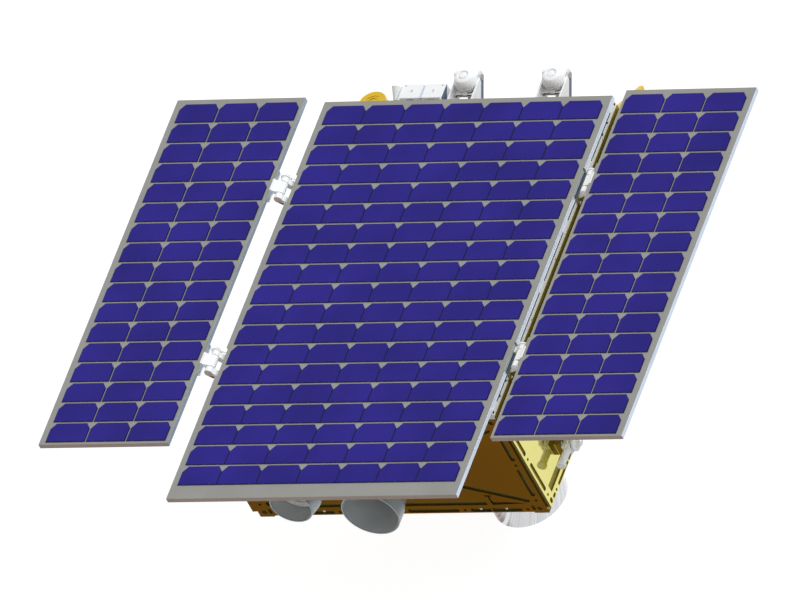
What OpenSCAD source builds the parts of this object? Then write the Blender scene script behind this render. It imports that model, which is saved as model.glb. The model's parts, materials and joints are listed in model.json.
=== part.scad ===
// Small imaging satellite: a gold chromated box of machined plates, a fixed panel of solar cells on
// its front and two hinged wings, standing on the ring that joins it to a launcher.
// Millimetres. Origin: centre of the ring's lower face. +X across the wings, +Y to the receiver end,
// +Z out of the cells.

/* [Box] */
// Width of the box between its side plates
box_w = 510; // [480:5:560]
// Length of the box over its end plates
box_l = 635; // [600:5:680]
// Height of the box over its decks
box_h = 221; // [200:1:250]
// Thickness of the two decks
deck_t = 10; // [6:0.5:14]
// Thickness of the two end plates
end_t = 12; // [9:0.5:16]
// Thickness of the two side plates
side_t = 8.7; // [7:0.1:12]
// Step from the front deck's face down to the side plates' edge
side_step_front = 2; // [0:0.5:6]
// Step from the back deck's face up to the side plates' edge
side_step_back = 10; // [4:0.5:16]
// Depth of the pockets milled into the side plates
side_pocket_d = 2.5; // [2:0.5:6]
// Depth of the pockets milled into the end plates
end_pocket_d = 3; // [2:0.5:7]
// Width of the border pockets
pocket_w = 7.6; // [5:0.2:9]
// Diameter of the round holes between border pockets
border_hole_d = 5; // [3:0.5:7]
// Clear space from such a hole's axis to the next pocket
pocket_gap = 10; // [6:0.5:14]
// Distance of the end plates' upright pockets from the box's side
end_inset_x = 11; // [8:0.5:14]
// Distance of the lying border pockets from a plate's long edges
inset_z = 6.3; // [5:0.1:9]
// Distance of the side plates' upright pockets from the box's end
side_inset_y = 8.5; // [7:0.5:12]
// Spacing of the border holes along a plate's height
hole_pitch_z = 83.5; // [70:0.5:90]
// Spacing of the border holes across the end plates
hole_pitch_x = 110.5; // [90:0.5:115]
// Spacing of the border holes along the side plates
hole_pitch_y = 114; // [90:0.5:118]
// Width of the pockets along the side plates' long edges
edge_pocket_w = 6; // [4:0.2:6.4]
// Distance of those pockets' middle from the plate's edge
edge_inset = 4.5; // [4.4:0.1:6]
// Width of the band pocket along the side plates' long edges
band_w = 15; // [8:0.5:20]
// Distance of that band from the plate's edge
band_inset = 14; // [12:0.5:20]
// Width of the diagonal channels in the end plates
brace_w = 9.3; // [6:0.1:14]
// Width of the long channel along the end plates' border
lane_w = 9; // [6:0.5:12]
// Distance of that channel from the plate's edge
lane_inset = 22.5; // [20:0.5:28]
// Thickness of the side plates' lip past the box's corner
lip_t = 2.1; // [1.5:0.1:3]
// Depth of the corner groove that the lip covers
groove_d = 4; // [2:0.5:4.5]
// Width of the pads at the back corners of the end plates
pad_w = 25; // [15:1:40]
// Height of those pads
pad_h = 2.4; // [1:0.2:5]
// Width of the avionics stack inside
stack_w = 300; // [200:5:380]
// Length of the avionics stack
stack_l = 400; // [250:5:480]
// Height of the avionics stack
stack_h = 150; // [100:5:170]

/* [Launch ring] */
// Height of the ring, from its foot to the box
ring_h = 78; // [70:1:110]
// Outer radius of the ring's wall
ring_r = 140; // [110:1:160]
// Thickness of the ring's wall
ring_t = 5; // [3:0.5:8]
// Width of the ring's flanges outside the wall
flange_w = 22; // [16:1:28]
// Thickness of the ring's flanges
flange_t = 8; // [5:0.5:12]
// Number of bolts in the ring's lower flange
ring_bolts = 12; // [8:2:16]
// Radius of the bolt holes
ring_hole_r = 3.3; // [2.5:0.1:4.5]

/* [Solar panels] */
// Thickness of all three panels
panel_t = 8; // [7:0.5:12]
// Length of the fixed panel
panel_l = 809; // [780:1:860]
// Overhang of the fixed panel past the box at the receiver end
panel_over = 2; // [0:0.5:6]
// Width of a wing
wing_w = 228.5; // [222:0.5:250]
// Length of a wing
wing_l = 705; // [700:1:760]
// Height of a wing's face above the fixed panel's face
wing_rise = 11.7; // [9:0.1:16]
// Height of the rails that carry the fixed panel
rail_h = 12; // [8:0.5:18]
// Width of the rails
rail_w = 20; // [14:1:26]
// Height of the pads between rail and panel
rail_pad_h = 4; // [2:0.5:6]
// Length of one rail pad
rail_pad_l = 24; // [12:1:40]
// Number of pads on a rail
rail_pads = 6; // [4:1:8]
// Radius of the small holes in a rail's outer side
rail_hole_r = 2.2; // [1.5:0.1:3]
// Depth of those holes
rail_hole_d = 6; // [3:0.5:10]

/* [Solar cells] */
// Length of a cell, across the panel
cell_l = 69.6; // [60:0.1:69.7]
// Width of a cell, along the panel
cell_w = 37.8; // [34:0.1:40]
// Thickness of a cell with its cover glass
cell_t = 0.8; // [0.5:0.1:1.5]
// Length of the cropped corners across the panel
crop_l = 8; // [4:0.5:12]
// Length of the cropped corners along the panel
crop_w = 11; // [6:0.5:14]
// Pitch of the rows
row_pitch = 40.84; // [40.5:0.01:42]
// Pitch of the columns on the fixed panel
col_pitch = 69.9; // [69.8:0.1:71]
// Pitch of the columns on a wing
wing_col_pitch = 71.7; // [69.8:0.1:72.5]
// Rows on the fixed panel
rows = 19; // [10:1:19]
// Columns on the fixed panel
cols = 7; // [4:1:7]
// Rows on a wing
wing_rows = 17; // [10:1:17]
// Columns on a wing
wing_cols = 3; // [2:1:3]
// Bare strip above the first row
first_row = 9.5; // [4:0.5:12]
// Shift of a wing's cells towards its hinges
wing_cell_shift = 3; // [0:0.5:5]

/* [Hinges] */
// Distance of a hinge pin from the side of the fixed panel
pin_out = 16; // [15.5:0.5:19]
// Distance of a hinge pin from the wing's inner edge
pin_to_wing = 13.6; // [13.6:0.1:16]
// Depth of a hinge pin below the fixed panel's face
pin_depth = 2; // [0:0.5:3]
// Radius of the hinge pins
pin_r = 2.5; // [2:0.1:3]
// Running clearance between pin and knuckle
pin_gap = 0.05; // [0.02:0.01:0.1]
// Radius of the hinge knuckles
knuckle_r = 7; // [6:0.1:7.5]
// Length of the knuckle on the wing's leaf
leaf_knuckle_l = 22; // [18:1:34]
// Length of each knuckle on the base
base_knuckle_l = 10; // [8:1:16]
// Gap between neighbouring knuckles
knuckle_gap = 0.5; // [0.3:0.1:1]
// Length of the plates of a hinge along its pin
leaf_l = 58; // [50:1:70]
// Thickness of the plates of a hinge
leaf_t = 3; // [2:0.25:4]
// Width of the leaf's plate under the wing
leaf_w = 24; // [16:1:36]
// Radius of the disc on the pin's upper end
disc_r = 9; // [8:0.5:10]
// Distance of the upper hinges from the fixed panel's upper edge
hinge_from_top = 177; // [160:0.5:190]
// Spacing of the two hinges of a wing
hinge_pitch = 354; // [320:1:380]
// Depth of the relief in the fixed panel's edge beside a hinge
relief_d = 3; // [1:0.5:5]

/* [Hold-downs] */
// Height of the hold-downs above the box's back
hold_z = 50; // [44:1:80]
// Distance of the hold-downs' cups from the ends of the box
hold_end = 98; // [80:0.5:130]
// Reach of a hold-down's cup out of the side plate
hold_reach = 36; // [32:0.5:37]
// Height of the gold block under a release cylinder
boss_t = 10; // [8:0.5:10.5]
// Distance of the release cylinder's axis from the side plate
release_out = 17; // [15:0.5:19]
// Radius of the release cylinder
release_r = 6.1; // [5:0.1:7]
// Length of the release cylinder beside the cup
release_l = 48; // [36:1:56]
// Radius of the discs of a cup
cup_r = 14.5; // [10:0.5:16]
// Radius of the cup's seat for the stowed wing
seat_r = 6; // [4:0.5:8]

/* [Imagers] */
// Height of both imagers above the box's back
imager_z = 114; // [100:1:125]
// Place of the large imager across the box
imager_large_x = 23; // [10:1:60]
// Radius of the large baffle at its rim
large_rim_r = 47.6; // [42:0.1:52]
// Radius of the large baffle where it leaves its flange
large_base_r = 39; // [34:0.5:41]
// Length of the large baffle
large_l = 97; // [80:1:120]
// Place of the small imager across the box
imager_small_x = -123; // [-160:1:-110]
// Radius of the small baffle at its rim
small_rim_r = 34.9; // [30:0.1:36]
// Radius of the small baffle at its widest
small_belly_r = 41; // [38:0.5:44]
// Length of the small baffle
small_l = 81; // [70:1:100]
// Wall of both baffles
baffle_t = 1.8; // [1.2:0.1:3]
// Clearance between a baffle and the lens in its foot
lens_gap = 0.3; // [0.1:0.1:0.8]
// Thickness of the baffles' flanges
baffle_flange_t = 5; // [3:0.5:8]
// Width of the baffles' flanges
baffle_flange_w = 8; // [5:0.5:12]
// Length of the small imager's lens barrel inside its baffle
small_barrel_l = 49; // [30:1:56]
// Length of the large imager's lens barrel inside its baffle
large_barrel_l = 14; // [8:1:40]

/* [Receiver end] */
// Distance of the first dome head from the box's left side
head_in = 215.5; // [200:0.5:230]
// Spacing of the two dome heads
head_pitch = 156; // [110:1:170]
// Distance of the heads' axes from the end plate
head_out = 67; // [50:0.5:80]
// Depth of the heads' middle below the front deck's face
head_depth = 7; // [4:0.5:16]
// Radius of a dome head
head_r = 19; // [15:0.1:20]
// Height of a head's flat crown above its middle
crown_z = 12.6; // [9:0.1:15]
// Depth of a head's foot below its middle
foot_z = 13; // [9:0.5:16]
// Thickness of the sheet of the yokes
yoke_t = 3; // [2:0.5:5]
// Space between a yoke's arms
yoke_w = 39; // [39:0.5:44]
// Reach of a yoke's arms out of the end plate
yoke_l = 85; // [80:0.5:90]
// Drop of the arms' upper edge below the heads' middle
arm_drop = 1; // [0:0.5:6]
// Distance of the twin receiver's middle from the box's left side
receiver_in = 148.5; // [140:0.5:152]
// Width of one receiver box
receiver_w = 33; // [28:0.5:34]
// Space between the two receiver boxes
receiver_gap = 5; // [3:0.5:8]
// Reach of the receiver boxes out of the end plate
receiver_l = 57; // [50:1:64]
// Distance of the receiver boxes from the end plate
receiver_near = 29; // [20:1:34]
// Height of a receiver box
receiver_h = 12; // [10:0.5:18]
// Radius of the horn beside the receiver
horn_r = 9; // [7:0.2:11]
// Length of the horn
horn_l = 22; // [16:1:28]
// Lean of the horn's axis from upright
horn_tilt = 67; // [45:1:80]
// Distance of the gold drum's middle from the box's left side
drum_in = 59; // [50:1:70]
// Radius of the gold drum
drum_r = 24.5; // [18:0.5:30]
// Space between the drum and the end plate
drum_gap = 4; // [2:0.5:8]
// Height of the gold drum
drum_h = 46; // [40:1:60]
// Depth of the drum's face below the front deck
drum_depth = 11.5; // [4:0.5:20]
// Width of the drum's rim
drum_rim = 8; // [5:0.5:10]
// Reach of the corner bracket out of the end plate
corner_reach = 79; // [50:1:90]
// Drop of the bracket's upper edge over that reach
corner_drop = 41; // [30:1:50]
// Height of the bracket's foot on the end plate
corner_foot = 110; // [80:1:150]
// Thickness of the bracket
corner_t = 6; // [4:0.5:8]

/* [Back canister] */
// Radius of the polished canister
can_r = 62; // [50:1:70]
// Height of the canister under the back deck
can_h = 60; // [40:1:66]
// Distance of the canister's axis from the box's side
can_side = 84; // [70:1:100]
// Distance of the canister's axis from the box's lower end
can_end = 80; // [72:0.5:95]

/* [Hidden] */
$fn = 64;

gold = "#b49a3c";
brown = "#5d3e10";
white = "#f2f3f2";
panel_grey = "#979691";
cell_blue = "#352f80";
silver = "#d8dadd";
baffle_grey = "#6f777b";

LEFT = -1;
RIGHT = 1;
UPPER = 1;
LOWER = -1;
eps = 0.1;

end_y = box_l / 2;
box_z0 = ring_h;
box_z1 = box_z0 + box_h;
side_x1 = box_w / 2 + side_t;
side_z0 = box_z0 + side_step_back;
side_z1 = box_z1 - side_step_front;
rail_z1 = box_z1 + rail_h;
panel_z0 = rail_z1 + rail_pad_h;
panel_z1 = panel_z0 + panel_t;
panel_y1 = end_y + panel_over;
wing_z1 = panel_z1 + wing_rise;
wing_z0 = wing_z1 - panel_t;
pin_x = box_w / 2 + pin_out;
pin_z = panel_z1 - pin_depth;
wing_x0 = pin_x + pin_to_wing;
hinge_upper_y = panel_y1 - hinge_from_top;
hinge_lower_y = hinge_upper_y - hinge_pitch;
hold_zc = box_z0 + hold_z;
imager_zc = box_z0 + imager_z;
head_x = head_in - box_w / 2;
head_zc = box_z1 - head_depth;
receiver_x = receiver_in - box_w / 2;
receiver_z0 = box_z1 - receiver_h - 1;

// A block between two opposite corners
module block(low, high) {
  translate(low) cube(high - low);
}

// Builds children drawn for the right side on either side
module on_side(side) {
  if (side == LEFT) mirror([1, 0, 0]) children();
  else children();
}

// Builds children drawn for the upper end plate's outer face on either end
module on_end(end) {
  if (end == LOWER) mirror([0, 1, 0]) children();
  else children();
}

// A slot with round ends, along X, centred
module slot(length, width) {
  square([length - width, width], center = true);
  for (s = [-1, 1]) translate([s * (length - width) / 2, 0]) circle(d = width);
}

// A row of slots along X, centred, with a round hole in each gap and at each end
module border_row(count, pitch, width) {
  for (i = [0 : count - 1]) translate([(i - (count - 1) / 2) * pitch, 0])
    slot(pitch - 2 * pocket_gap, width);
  for (i = [0 : count]) translate([(i - count / 2) * pitch, 0]) circle(d = border_hole_d);
}

// A border row that thin ribs cross at x and -x
module ribbed_row(count, pitch, width, x) {
  rib = 3;
  difference() {
    border_row(count, pitch, width);
    for (s = [-1, 1]) translate([s * x, 0]) square([rib, width + 1], center = true);
  }
}

// Stands a drawing in X and Z on the plane Y = 0, with its thickness towards -Y
module upright(t) {
  rotate([90, 0, 0]) linear_extrude(t) children();
}

// Stands a drawing in Y and Z on the plane X = 0, with its thickness towards +X
module sideways(t) {
  rotate([90, 0, 90]) linear_extrude(t) children();
}

// Wall of the launch ring between its two flanges
module adapter_ring() {
  color(silver) rotate_extrude() translate([ring_r - ring_t, flange_t])
    square([ring_t, ring_h - 2 * flange_t]);
}

// Lower flange with its bolt holes
module adapter_foot() {
  bolt_r = ring_r + flange_w / 2;
  color(silver) difference() {
    rotate_extrude() translate([ring_r - ring_t, 0]) square([ring_t + flange_w, flange_t]);
    for (i = [0 : ring_bolts - 1]) rotate(i * 360 / ring_bolts)
      translate([bolt_r, 0, -eps]) cylinder(h = flange_t + 2 * eps, r = ring_hole_r);
  }
}

// Upper flange against the back deck
module adapter_head() {
  color(silver) translate([0, 0, ring_h - flange_t])
    rotate_extrude() translate([ring_r - ring_t, 0]) square([ring_t + flange_w, flange_t]);
}

module back_deck() {
  color(gold) block([-box_w / 2, -end_y + end_t, box_z0], [box_w / 2, end_y - end_t, box_z0 + deck_t]);
}

module front_deck() {
  color(gold) block([-box_w / 2, -end_y + end_t, box_z1 - deck_t], [box_w / 2, end_y - end_t, box_z1]);
}

// Pockets of an end plate, drawn in X and Z about its middle
module end_pattern() {
  lane_z = box_h / 2 - lane_inset;
  lane_x = 155;
  rib_x = 158;
  wedge_x = 164;
  hook_w = 3;
  hook_l = 12;
  hook_z = lane_z - 18.5;
  brace_x = box_w / 2 - 22.5;
  brace_z = lane_z - 3.5;
  corner_d = 9;
  for (s = [-1, 1]) {
    translate([s * (box_w / 2 - end_inset_x), 0]) rotate(90) border_row(2, hole_pitch_z, pocket_w);
    translate([0, s * (box_h / 2 - inset_z)]) ribbed_row(4, hole_pitch_x, pocket_w, rib_x);
    translate([0, s * lane_z]) square([2 * lane_x, lane_w], center = true);
    rotate(s * atan2(brace_z, brace_x)) slot(2 * norm([brace_x, brace_z]), brace_w);
    for (t = [-1, 1]) {
      translate([s * (box_w / 2 - 12), t * (box_h / 2 - 9)]) circle(d = corner_d);
      translate([s * brace_x, t * (box_h / 2 - 10)]) rotate(90) slot(11, border_hole_d);
      scale([s, t]) {
        polygon([
          [wedge_x, lane_z + lane_w / 2], [wedge_x, lane_z - lane_w / 2], [brace_x - 8, lane_z + 2]
        ]);
        translate([rib_x, hook_z]) square([hook_l, hook_w]);
        translate([wedge_x - 1, hook_z]) square([hook_w, lane_z - hook_z]);
      }
    }
  }
}

module end_plate(end) {
  on_end(end) color(brown) difference() {
    union() {
      block([-box_w / 2, end_y - end_t, box_z0], [box_w / 2, end_y, box_z1]);
      for (s = [LEFT, RIGHT]) on_side(s)
        block([box_w / 2 - pad_w, end_y - end_t, box_z0 - pad_h], [box_w / 2, end_y, box_z0 + eps]);
    }
    translate([0, end_y + eps, (box_z0 + box_z1) / 2]) upright(end_pocket_d + eps) end_pattern();
  }
}

// Pockets of a side plate, drawn in Y and Z about its middle
module side_pattern() {
  half_h = (side_z1 - side_z0) / 2;
  end_margin = 19.5;
  rib_y = end_y - 92;
  for (s = [-1, 1]) {
    translate([s * (end_y - side_inset_y), 0]) rotate(90) border_row(2, hole_pitch_z, pocket_w);
    translate([0, s * (half_h - edge_inset)]) ribbed_row(5, hole_pitch_y, edge_pocket_w, rib_y);
    translate([0, s * (half_h - band_inset - band_w / 2)])
      square([box_l - 2 * end_margin, band_w], center = true);
    for (t = [-1, 1]) {
      translate([s * (end_y - side_inset_y), t * (half_h - 7)]) rotate(90) slot(10, pocket_w);
      translate([s * (end_y - 21), t * (half_h - edge_inset)]) slot(10, edge_pocket_w);
    }
  }
}

module side_plate(side) {
  boss_y = end_y - hold_end;
  on_side(side) color(gold) {
    difference() {
      block([box_w / 2, -end_y, side_z0], [side_x1, end_y, side_z1]);
      translate([side_x1 - side_pocket_d, 0, (side_z0 + side_z1) / 2]) sideways(side_pocket_d + eps)
        side_pattern();
      for (end = [UPPER, LOWER]) on_end(end)
        block([box_w / 2 - eps, end_y - groove_d, side_z0 - eps],
              [side_x1 - lip_t, end_y + eps, side_z1 + eps]);
    }
    for (end = [UPPER, LOWER]) on_end(end)
      block([side_x1 - eps, boss_y - 14, hold_zc - 10], [side_x1 + boss_t, boss_y + 17, hold_zc + 15]);
  }
}

module avionics_stack() {
  color(silver) block([-stack_w / 2, -stack_l / 2, box_z0 + deck_t],
                      [stack_w / 2, stack_l / 2, box_z0 + deck_t + stack_h]);
}

module back_canister() {
  lip = 2;
  color(silver) translate([box_w / 2 - can_side, can_end - end_y, box_z0]) rotate([180, 0, 0])
    rotate_extrude() polygon([
      [0, 0], [can_r, 0], [can_r, can_h - lip], [can_r - lip, can_h], [can_r - 3 * lip, can_h],
      [can_r - 4 * lip, can_h - 2 * lip], [0, can_h - 2 * lip]
    ]);
}

module rail(side) {
  pad_pitch = (box_l - rail_pad_l) / (rail_pads - 1);
  on_side(side) color(white) difference() {
    union() {
      block([box_w / 2 - rail_w, -end_y, box_z1], [box_w / 2, end_y, rail_z1]);
      for (i = [0 : rail_pads - 1])
        block([box_w / 2 - rail_w, -end_y + i * pad_pitch, rail_z1 - eps],
              [box_w / 2, -end_y + i * pad_pitch + rail_pad_l, panel_z0]);
    }
    for (i = [0 : rail_pads - 2])
      translate([box_w / 2 - rail_hole_d, (i - rail_pads / 2 + 1) * pad_pitch, box_z1 + rail_h / 2])
        rotate([0, 90, 0]) cylinder(h = rail_hole_d + eps, r = rail_hole_r);
  }
}

// One solar cell lying face up, its cropped corners towards +Y
module cell() {
  x = cell_l / 2;
  y = cell_w / 2;
  linear_extrude(cell_t) polygon([
    [-x, -y], [x, -y], [x, y - crop_w], [x - crop_l, y], [crop_l - x, y], [-x, y - crop_w]
  ]);
}

// Rows and columns of cells, centred across, the first row below y = 0
module cell_field(across, along, pitch) {
  for (c = [0 : across - 1], r = [0 : along - 1])
    translate([(c - (across - 1) / 2) * pitch, -first_row - cell_w / 2 - r * row_pitch]) cell();
}

module centre_panel() {
  color(panel_grey) difference() {
    block([-box_w / 2, panel_y1 - panel_l, panel_z0], [box_w / 2, panel_y1, panel_z1]);
    for (s = [LEFT, RIGHT], y = [hinge_upper_y, hinge_lower_y]) on_side(s)
      block([box_w / 2 - relief_d, y - leaf_l / 2, panel_z0 - eps],
            [box_w / 2 + eps, y + leaf_l / 2, panel_z1 + eps]);
  }
}

module centre_cells() {
  color(cell_blue) translate([0, panel_y1, panel_z1]) cell_field(cols, rows, col_pitch);
}

module wing_panel(side) {
  on_side(side) color(panel_grey)
    block([wing_x0, panel_y1 - wing_l, wing_z0], [wing_x0 + wing_w, panel_y1, wing_z1]);
}

module wing_cells(side) {
  on_side(side) color(cell_blue)
    translate([wing_x0 + wing_w / 2 - wing_cell_shift, panel_y1, wing_z1])
      cell_field(wing_cols, wing_rows, wing_col_pitch);
}

// Fixed half of a hinge: foot on the rail's outer side, two gusseted knuckles, the pin and its disc
module hinge_base(side, y) {
  foot_x = box_w / 2;
  span = leaf_knuckle_l + 2 * (knuckle_gap + base_knuckle_l);
  disc_t = 1.5;
  on_side(side) translate([0, y, 0]) color(white) {
    block([foot_x, -leaf_l / 2, box_z1], [foot_x + leaf_t, leaf_l / 2, rail_z1]);
    for (s = [-1, 1]) translate([0, s * (span - base_knuckle_l) / 2 + base_knuckle_l / 2, 0])
      upright(base_knuckle_l) {
        translate([pin_x, pin_z]) circle(r = knuckle_r);
        polygon([
          [foot_x + leaf_t / 2, box_z1], [pin_x + knuckle_r * cos(60), pin_z - knuckle_r * sin(60)],
          [pin_x, pin_z], [pin_x - knuckle_r, pin_z], [foot_x + leaf_t / 2, rail_z1]
        ]);
      }
    translate([pin_x, span / 2, pin_z]) rotate([90, 0, 0]) cylinder(h = span, r = pin_r);
    translate([pin_x, span / 2 + disc_t, pin_z]) rotate([90, 0, 0]) cylinder(h = disc_t, r = disc_r);
  }
}

// Moving half of a hinge: one knuckle on the pin and an angle that clasps the wing's inner edge
module hinge_leaf(side, y) {
  on_side(side) translate([0, y, 0]) color(white) {
    translate([0, leaf_knuckle_l / 2, 0]) upright(leaf_knuckle_l) difference() {
      union() {
        translate([pin_x, pin_z]) circle(r = knuckle_r);
        polygon([
          [pin_x, pin_z], [pin_x, pin_z + knuckle_r], [wing_x0 - leaf_t / 2, wing_z0 + leaf_t + 2],
          [wing_x0 - leaf_t / 2, wing_z0 - leaf_t], [pin_x, pin_z - knuckle_r / 3]
        ]);
      }
      translate([pin_x, pin_z]) circle(r = pin_r + pin_gap);
    }
    block([wing_x0 - leaf_t, -leaf_l / 2, wing_z0 - leaf_t], [wing_x0, leaf_l / 2, wing_z1 - 1]);
    block([wing_x0 - leaf_t, -leaf_l / 2, wing_z0 - leaf_t], [wing_x0 + leaf_w, leaf_l / 2, wing_z0]);
  }
}

// Hold-down on a side plate's block: a release cylinder along Y and the cup that seats the stowed wing
module hold_down(side, end) {
  cap_x = release_out + release_r;
  waist_r = 9;
  disc_t = 3;
  on_side(side) on_end(end) translate([side_x1, end_y - hold_end, hold_zc]) color(white) {
    block([boss_t, -4, -9], [cap_x, 17, 9]);
    translate([release_out, 9 + release_l - 8, 0]) rotate([90, 0, 0]) {
      cylinder(h = release_l - 8, r = release_r);
      cylinder(h = 5, r = release_r + 1.6);
    }
    translate([boss_t, 0, 0]) rotate([0, 90, 0]) rotate_extrude() polygon([
      [0, 0], [waist_r, 0], [waist_r, 8], [cup_r, 8], [cup_r, 8 + disc_t], [waist_r, 8 + disc_t],
      [waist_r, 12 + disc_t], [cup_r, 12 + disc_t], [cup_r, 12 + 2 * disc_t], [waist_r, 12 + 2 * disc_t],
      [seat_r, 14 + 2 * disc_t], [seat_r, hold_reach - boss_t], [0, hold_reach - boss_t]
    ]);
  }
}

// Places a revolved shape on the lower end plate, its axis towards -Y
module on_lower_end(x) {
  translate([x, -end_y, imager_zc]) rotate([90, 0, 0]) children();
}

module baffle_large() {
  flange_r = large_base_r + baffle_flange_w;
  color(baffle_grey) on_lower_end(imager_large_x) rotate_extrude() polygon([
    [large_base_r - baffle_t, 0], [flange_r, 0], [flange_r, baffle_flange_t],
    [large_base_r, baffle_flange_t], [large_base_r, large_l * 0.3],
    [large_rim_r, large_l * 0.75], [large_rim_r, large_l], [large_rim_r - baffle_t, large_l],
    [large_rim_r - baffle_t, large_l * 0.75], [large_base_r - baffle_t, large_l * 0.3]
  ]);
}

module baffle_small() {
  flange_r = small_belly_r + baffle_flange_w / 2;
  belly_l = small_l - 25;
  color(baffle_grey) on_lower_end(imager_small_x) rotate_extrude() polygon([
    [small_belly_r - baffle_t, 0], [flange_r, 0], [flange_r, baffle_flange_t],
    [small_belly_r, baffle_flange_t], [small_belly_r, belly_l], [small_rim_r, small_l],
    [small_rim_r - baffle_t, small_l], [small_belly_r - baffle_t, belly_l]
  ]);
}

// A lens in its barrel, filling a baffle's foot
module lens(r, barrel_l) {
  ring = r * 0.2;
  rotate_extrude() polygon([
    [0, 0], [r, 0], [r, barrel_l], [r - ring, barrel_l], [r - ring, barrel_l - 5], [0, barrel_l - 3]
  ]);
}

module lens_large() {
  color(silver) on_lower_end(imager_large_x) lens(large_base_r - baffle_t - lens_gap, large_barrel_l);
}

module lens_small() {
  color(silver) on_lower_end(imager_small_x) lens(small_belly_r - baffle_t - lens_gap, small_barrel_l);
}

// Yoke of a dome head: two triangular arms out of the end plate, each with an ear at its tip, and a strap
// between them that carries the head
module yoke(x) {
  arm_h = 72;
  strap_w = 19;
  translate([x, end_y, head_zc]) color(white) {
    for (s = [-1, 1]) translate([s * (yoke_w + yoke_t) / 2 - yoke_t / 2, 0, 0]) sideways(yoke_t) polygon([
      [0, -arm_h], [yoke_l, -4], [yoke_l, 3], [yoke_l - 4, 7], [yoke_l - 9, 6], [yoke_l - 12, -arm_drop],
      [0, -arm_drop]
    ]);
    block([-yoke_w / 2 - eps, head_out - strap_w / 2 - 5, -foot_z - yoke_t],
          [yoke_w / 2 + eps, head_out + strap_w / 2 - 5, -foot_z]);
  }
}

// Round sensor head: a ball with a flat foot and a flat crown, a ring cut into the crown
module dome_head(x) {
  groove_r = 6.3;
  color(white) translate([x, end_y + head_out, head_zc]) rotate_extrude() difference() {
    intersection() {
      circle(r = head_r, $fn = 128);
      translate([0, -foot_z]) square([head_r + 1, foot_z + crown_z]);
    }
    translate([groove_r, crown_z - 1.5]) square([2.1, 2]);
  }
}

// Tray that carries the twin receiver on the end plate between two gussets, with a small horn beside it
module receiver_tray() {
  half_w = receiver_w + receiver_gap / 2;
  plate_t = 3;
  slope = 0.8;
  horn_x = half_w + plate_t + horn_r + 0.4;
  horn_y = receiver_l * 0.6;
  foot_r = horn_r * 0.4;
  wall = 1;
  color(white) translate([receiver_x, end_y, receiver_z0]) {
    block([-half_w, 0, -plate_t], [half_w, receiver_l, 0]);
    for (s = [-1, 1]) translate([s * (half_w + plate_t / 2) - plate_t / 2, 0, 0]) sideways(plate_t) polygon([
      [0, -plate_t - slope * receiver_l], [receiver_l, -plate_t], [receiver_l, receiver_h],
      [receiver_near, receiver_h], [0, -plate_t]
    ]);
    block([-horn_x - foot_r, horn_y - foot_r - 5, -plate_t], [-half_w - plate_t, horn_y, foot_r]);
    translate([-horn_x, horn_y - 2, foot_r - 1]) rotate([-horn_tilt, 0, 0]) rotate_extrude() polygon([
      [0, 0], [foot_r, 0], [horn_r, horn_l], [horn_r - wall, horn_l], [foot_r - wall, wall], [0, wall]
    ]);
  }
}

// Two receiver boxes side by side on the tray
module receiver_boxes() {
  hole_r = 2.2;
  hole_d = 4;
  color(white) translate([receiver_x, end_y, receiver_z0]) for (s = [-1, 1])
    translate([s * (receiver_w + receiver_gap) / 2, 0, 0]) difference() {
      block([-receiver_w / 2, receiver_near, 0], [receiver_w / 2, receiver_l, receiver_h]);
      translate([0, (receiver_near + receiver_l) / 2, receiver_h - hole_d])
        cylinder(h = hole_d + eps, r = hole_r);
    }
}

// Gold drum of stacked rings, its face sunk within the rim, on a foot against the end plate
module gold_drum() {
  axis_y = drum_gap + drum_r;
  sink = 6;
  color(gold) translate([drum_in - box_w / 2, end_y + axis_y, box_z1 - drum_depth - drum_h]) {
    rotate_extrude() polygon([
      [0, 0], [drum_r - 2, 0], [drum_r - 2, drum_h - 19], [drum_r, drum_h - 19], [drum_r, drum_h - 11],
      [drum_r - 3, drum_h - 11], [drum_r - 3, drum_h - 8], [drum_r, drum_h - 8], [drum_r, drum_h],
      [drum_r - drum_rim, drum_h], [drum_r - drum_rim, drum_h - sink], [0, drum_h - sink]
    ]);
    block([-drum_r / 2, -axis_y, 0], [drum_r / 2, 6 - drum_r, drum_h - 21]);
  }
}

// Gusset at the right-hand corner of the receiver end, on a foot against the end plate
module corner_bracket() {
  foot_w = 24;
  foot_t = 4;
  color(gold) translate([box_w / 2, end_y, box_z1]) {
    translate([-corner_t, 0, 0]) sideways(corner_t)
      polygon([
        [0, 0], [0, -corner_foot], [corner_reach, -corner_drop - corner_t], [corner_reach, -corner_drop]
      ]);
    block([-foot_w, 0, -corner_foot], [-corner_t + eps, foot_t, 0]);
  }
}

adapter_ring();
adapter_foot();
adapter_head();
back_deck();
front_deck();
end_plate(LOWER);  // end_plate_lower
end_plate(UPPER);  // end_plate_upper
side_plate(LEFT);  // side_plate_left
side_plate(RIGHT);  // side_plate_right
avionics_stack();
back_canister();
rail(LEFT);  // rail_left
rail(RIGHT);  // rail_right
centre_panel();
centre_cells();
hinge_base(LEFT, hinge_upper_y);  // hinge_base_left_upper
hinge_base(LEFT, hinge_lower_y);  // hinge_base_left_lower
hinge_base(RIGHT, hinge_upper_y);  // hinge_base_right_upper
hinge_base(RIGHT, hinge_lower_y);  // hinge_base_right_lower
hold_down(LEFT, UPPER);  // hold_down_left_upper
hold_down(LEFT, LOWER);  // hold_down_left_lower
hold_down(RIGHT, UPPER);  // hold_down_right_upper
hold_down(RIGHT, LOWER);  // hold_down_right_lower
baffle_large();
baffle_small();
lens_large();
lens_small();
yoke(head_x);  // yoke_left
yoke(head_x + head_pitch);  // yoke_right
dome_head(head_x);  // dome_head_left
dome_head(head_x + head_pitch);  // dome_head_right
receiver_tray();
receiver_boxes();
gold_drum();
corner_bracket();
wing_panel(LEFT);  // wing_panel_left
wing_cells(LEFT);  // wing_cells_left
hinge_leaf(LEFT, hinge_upper_y);  // hinge_leaf_left_upper
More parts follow.
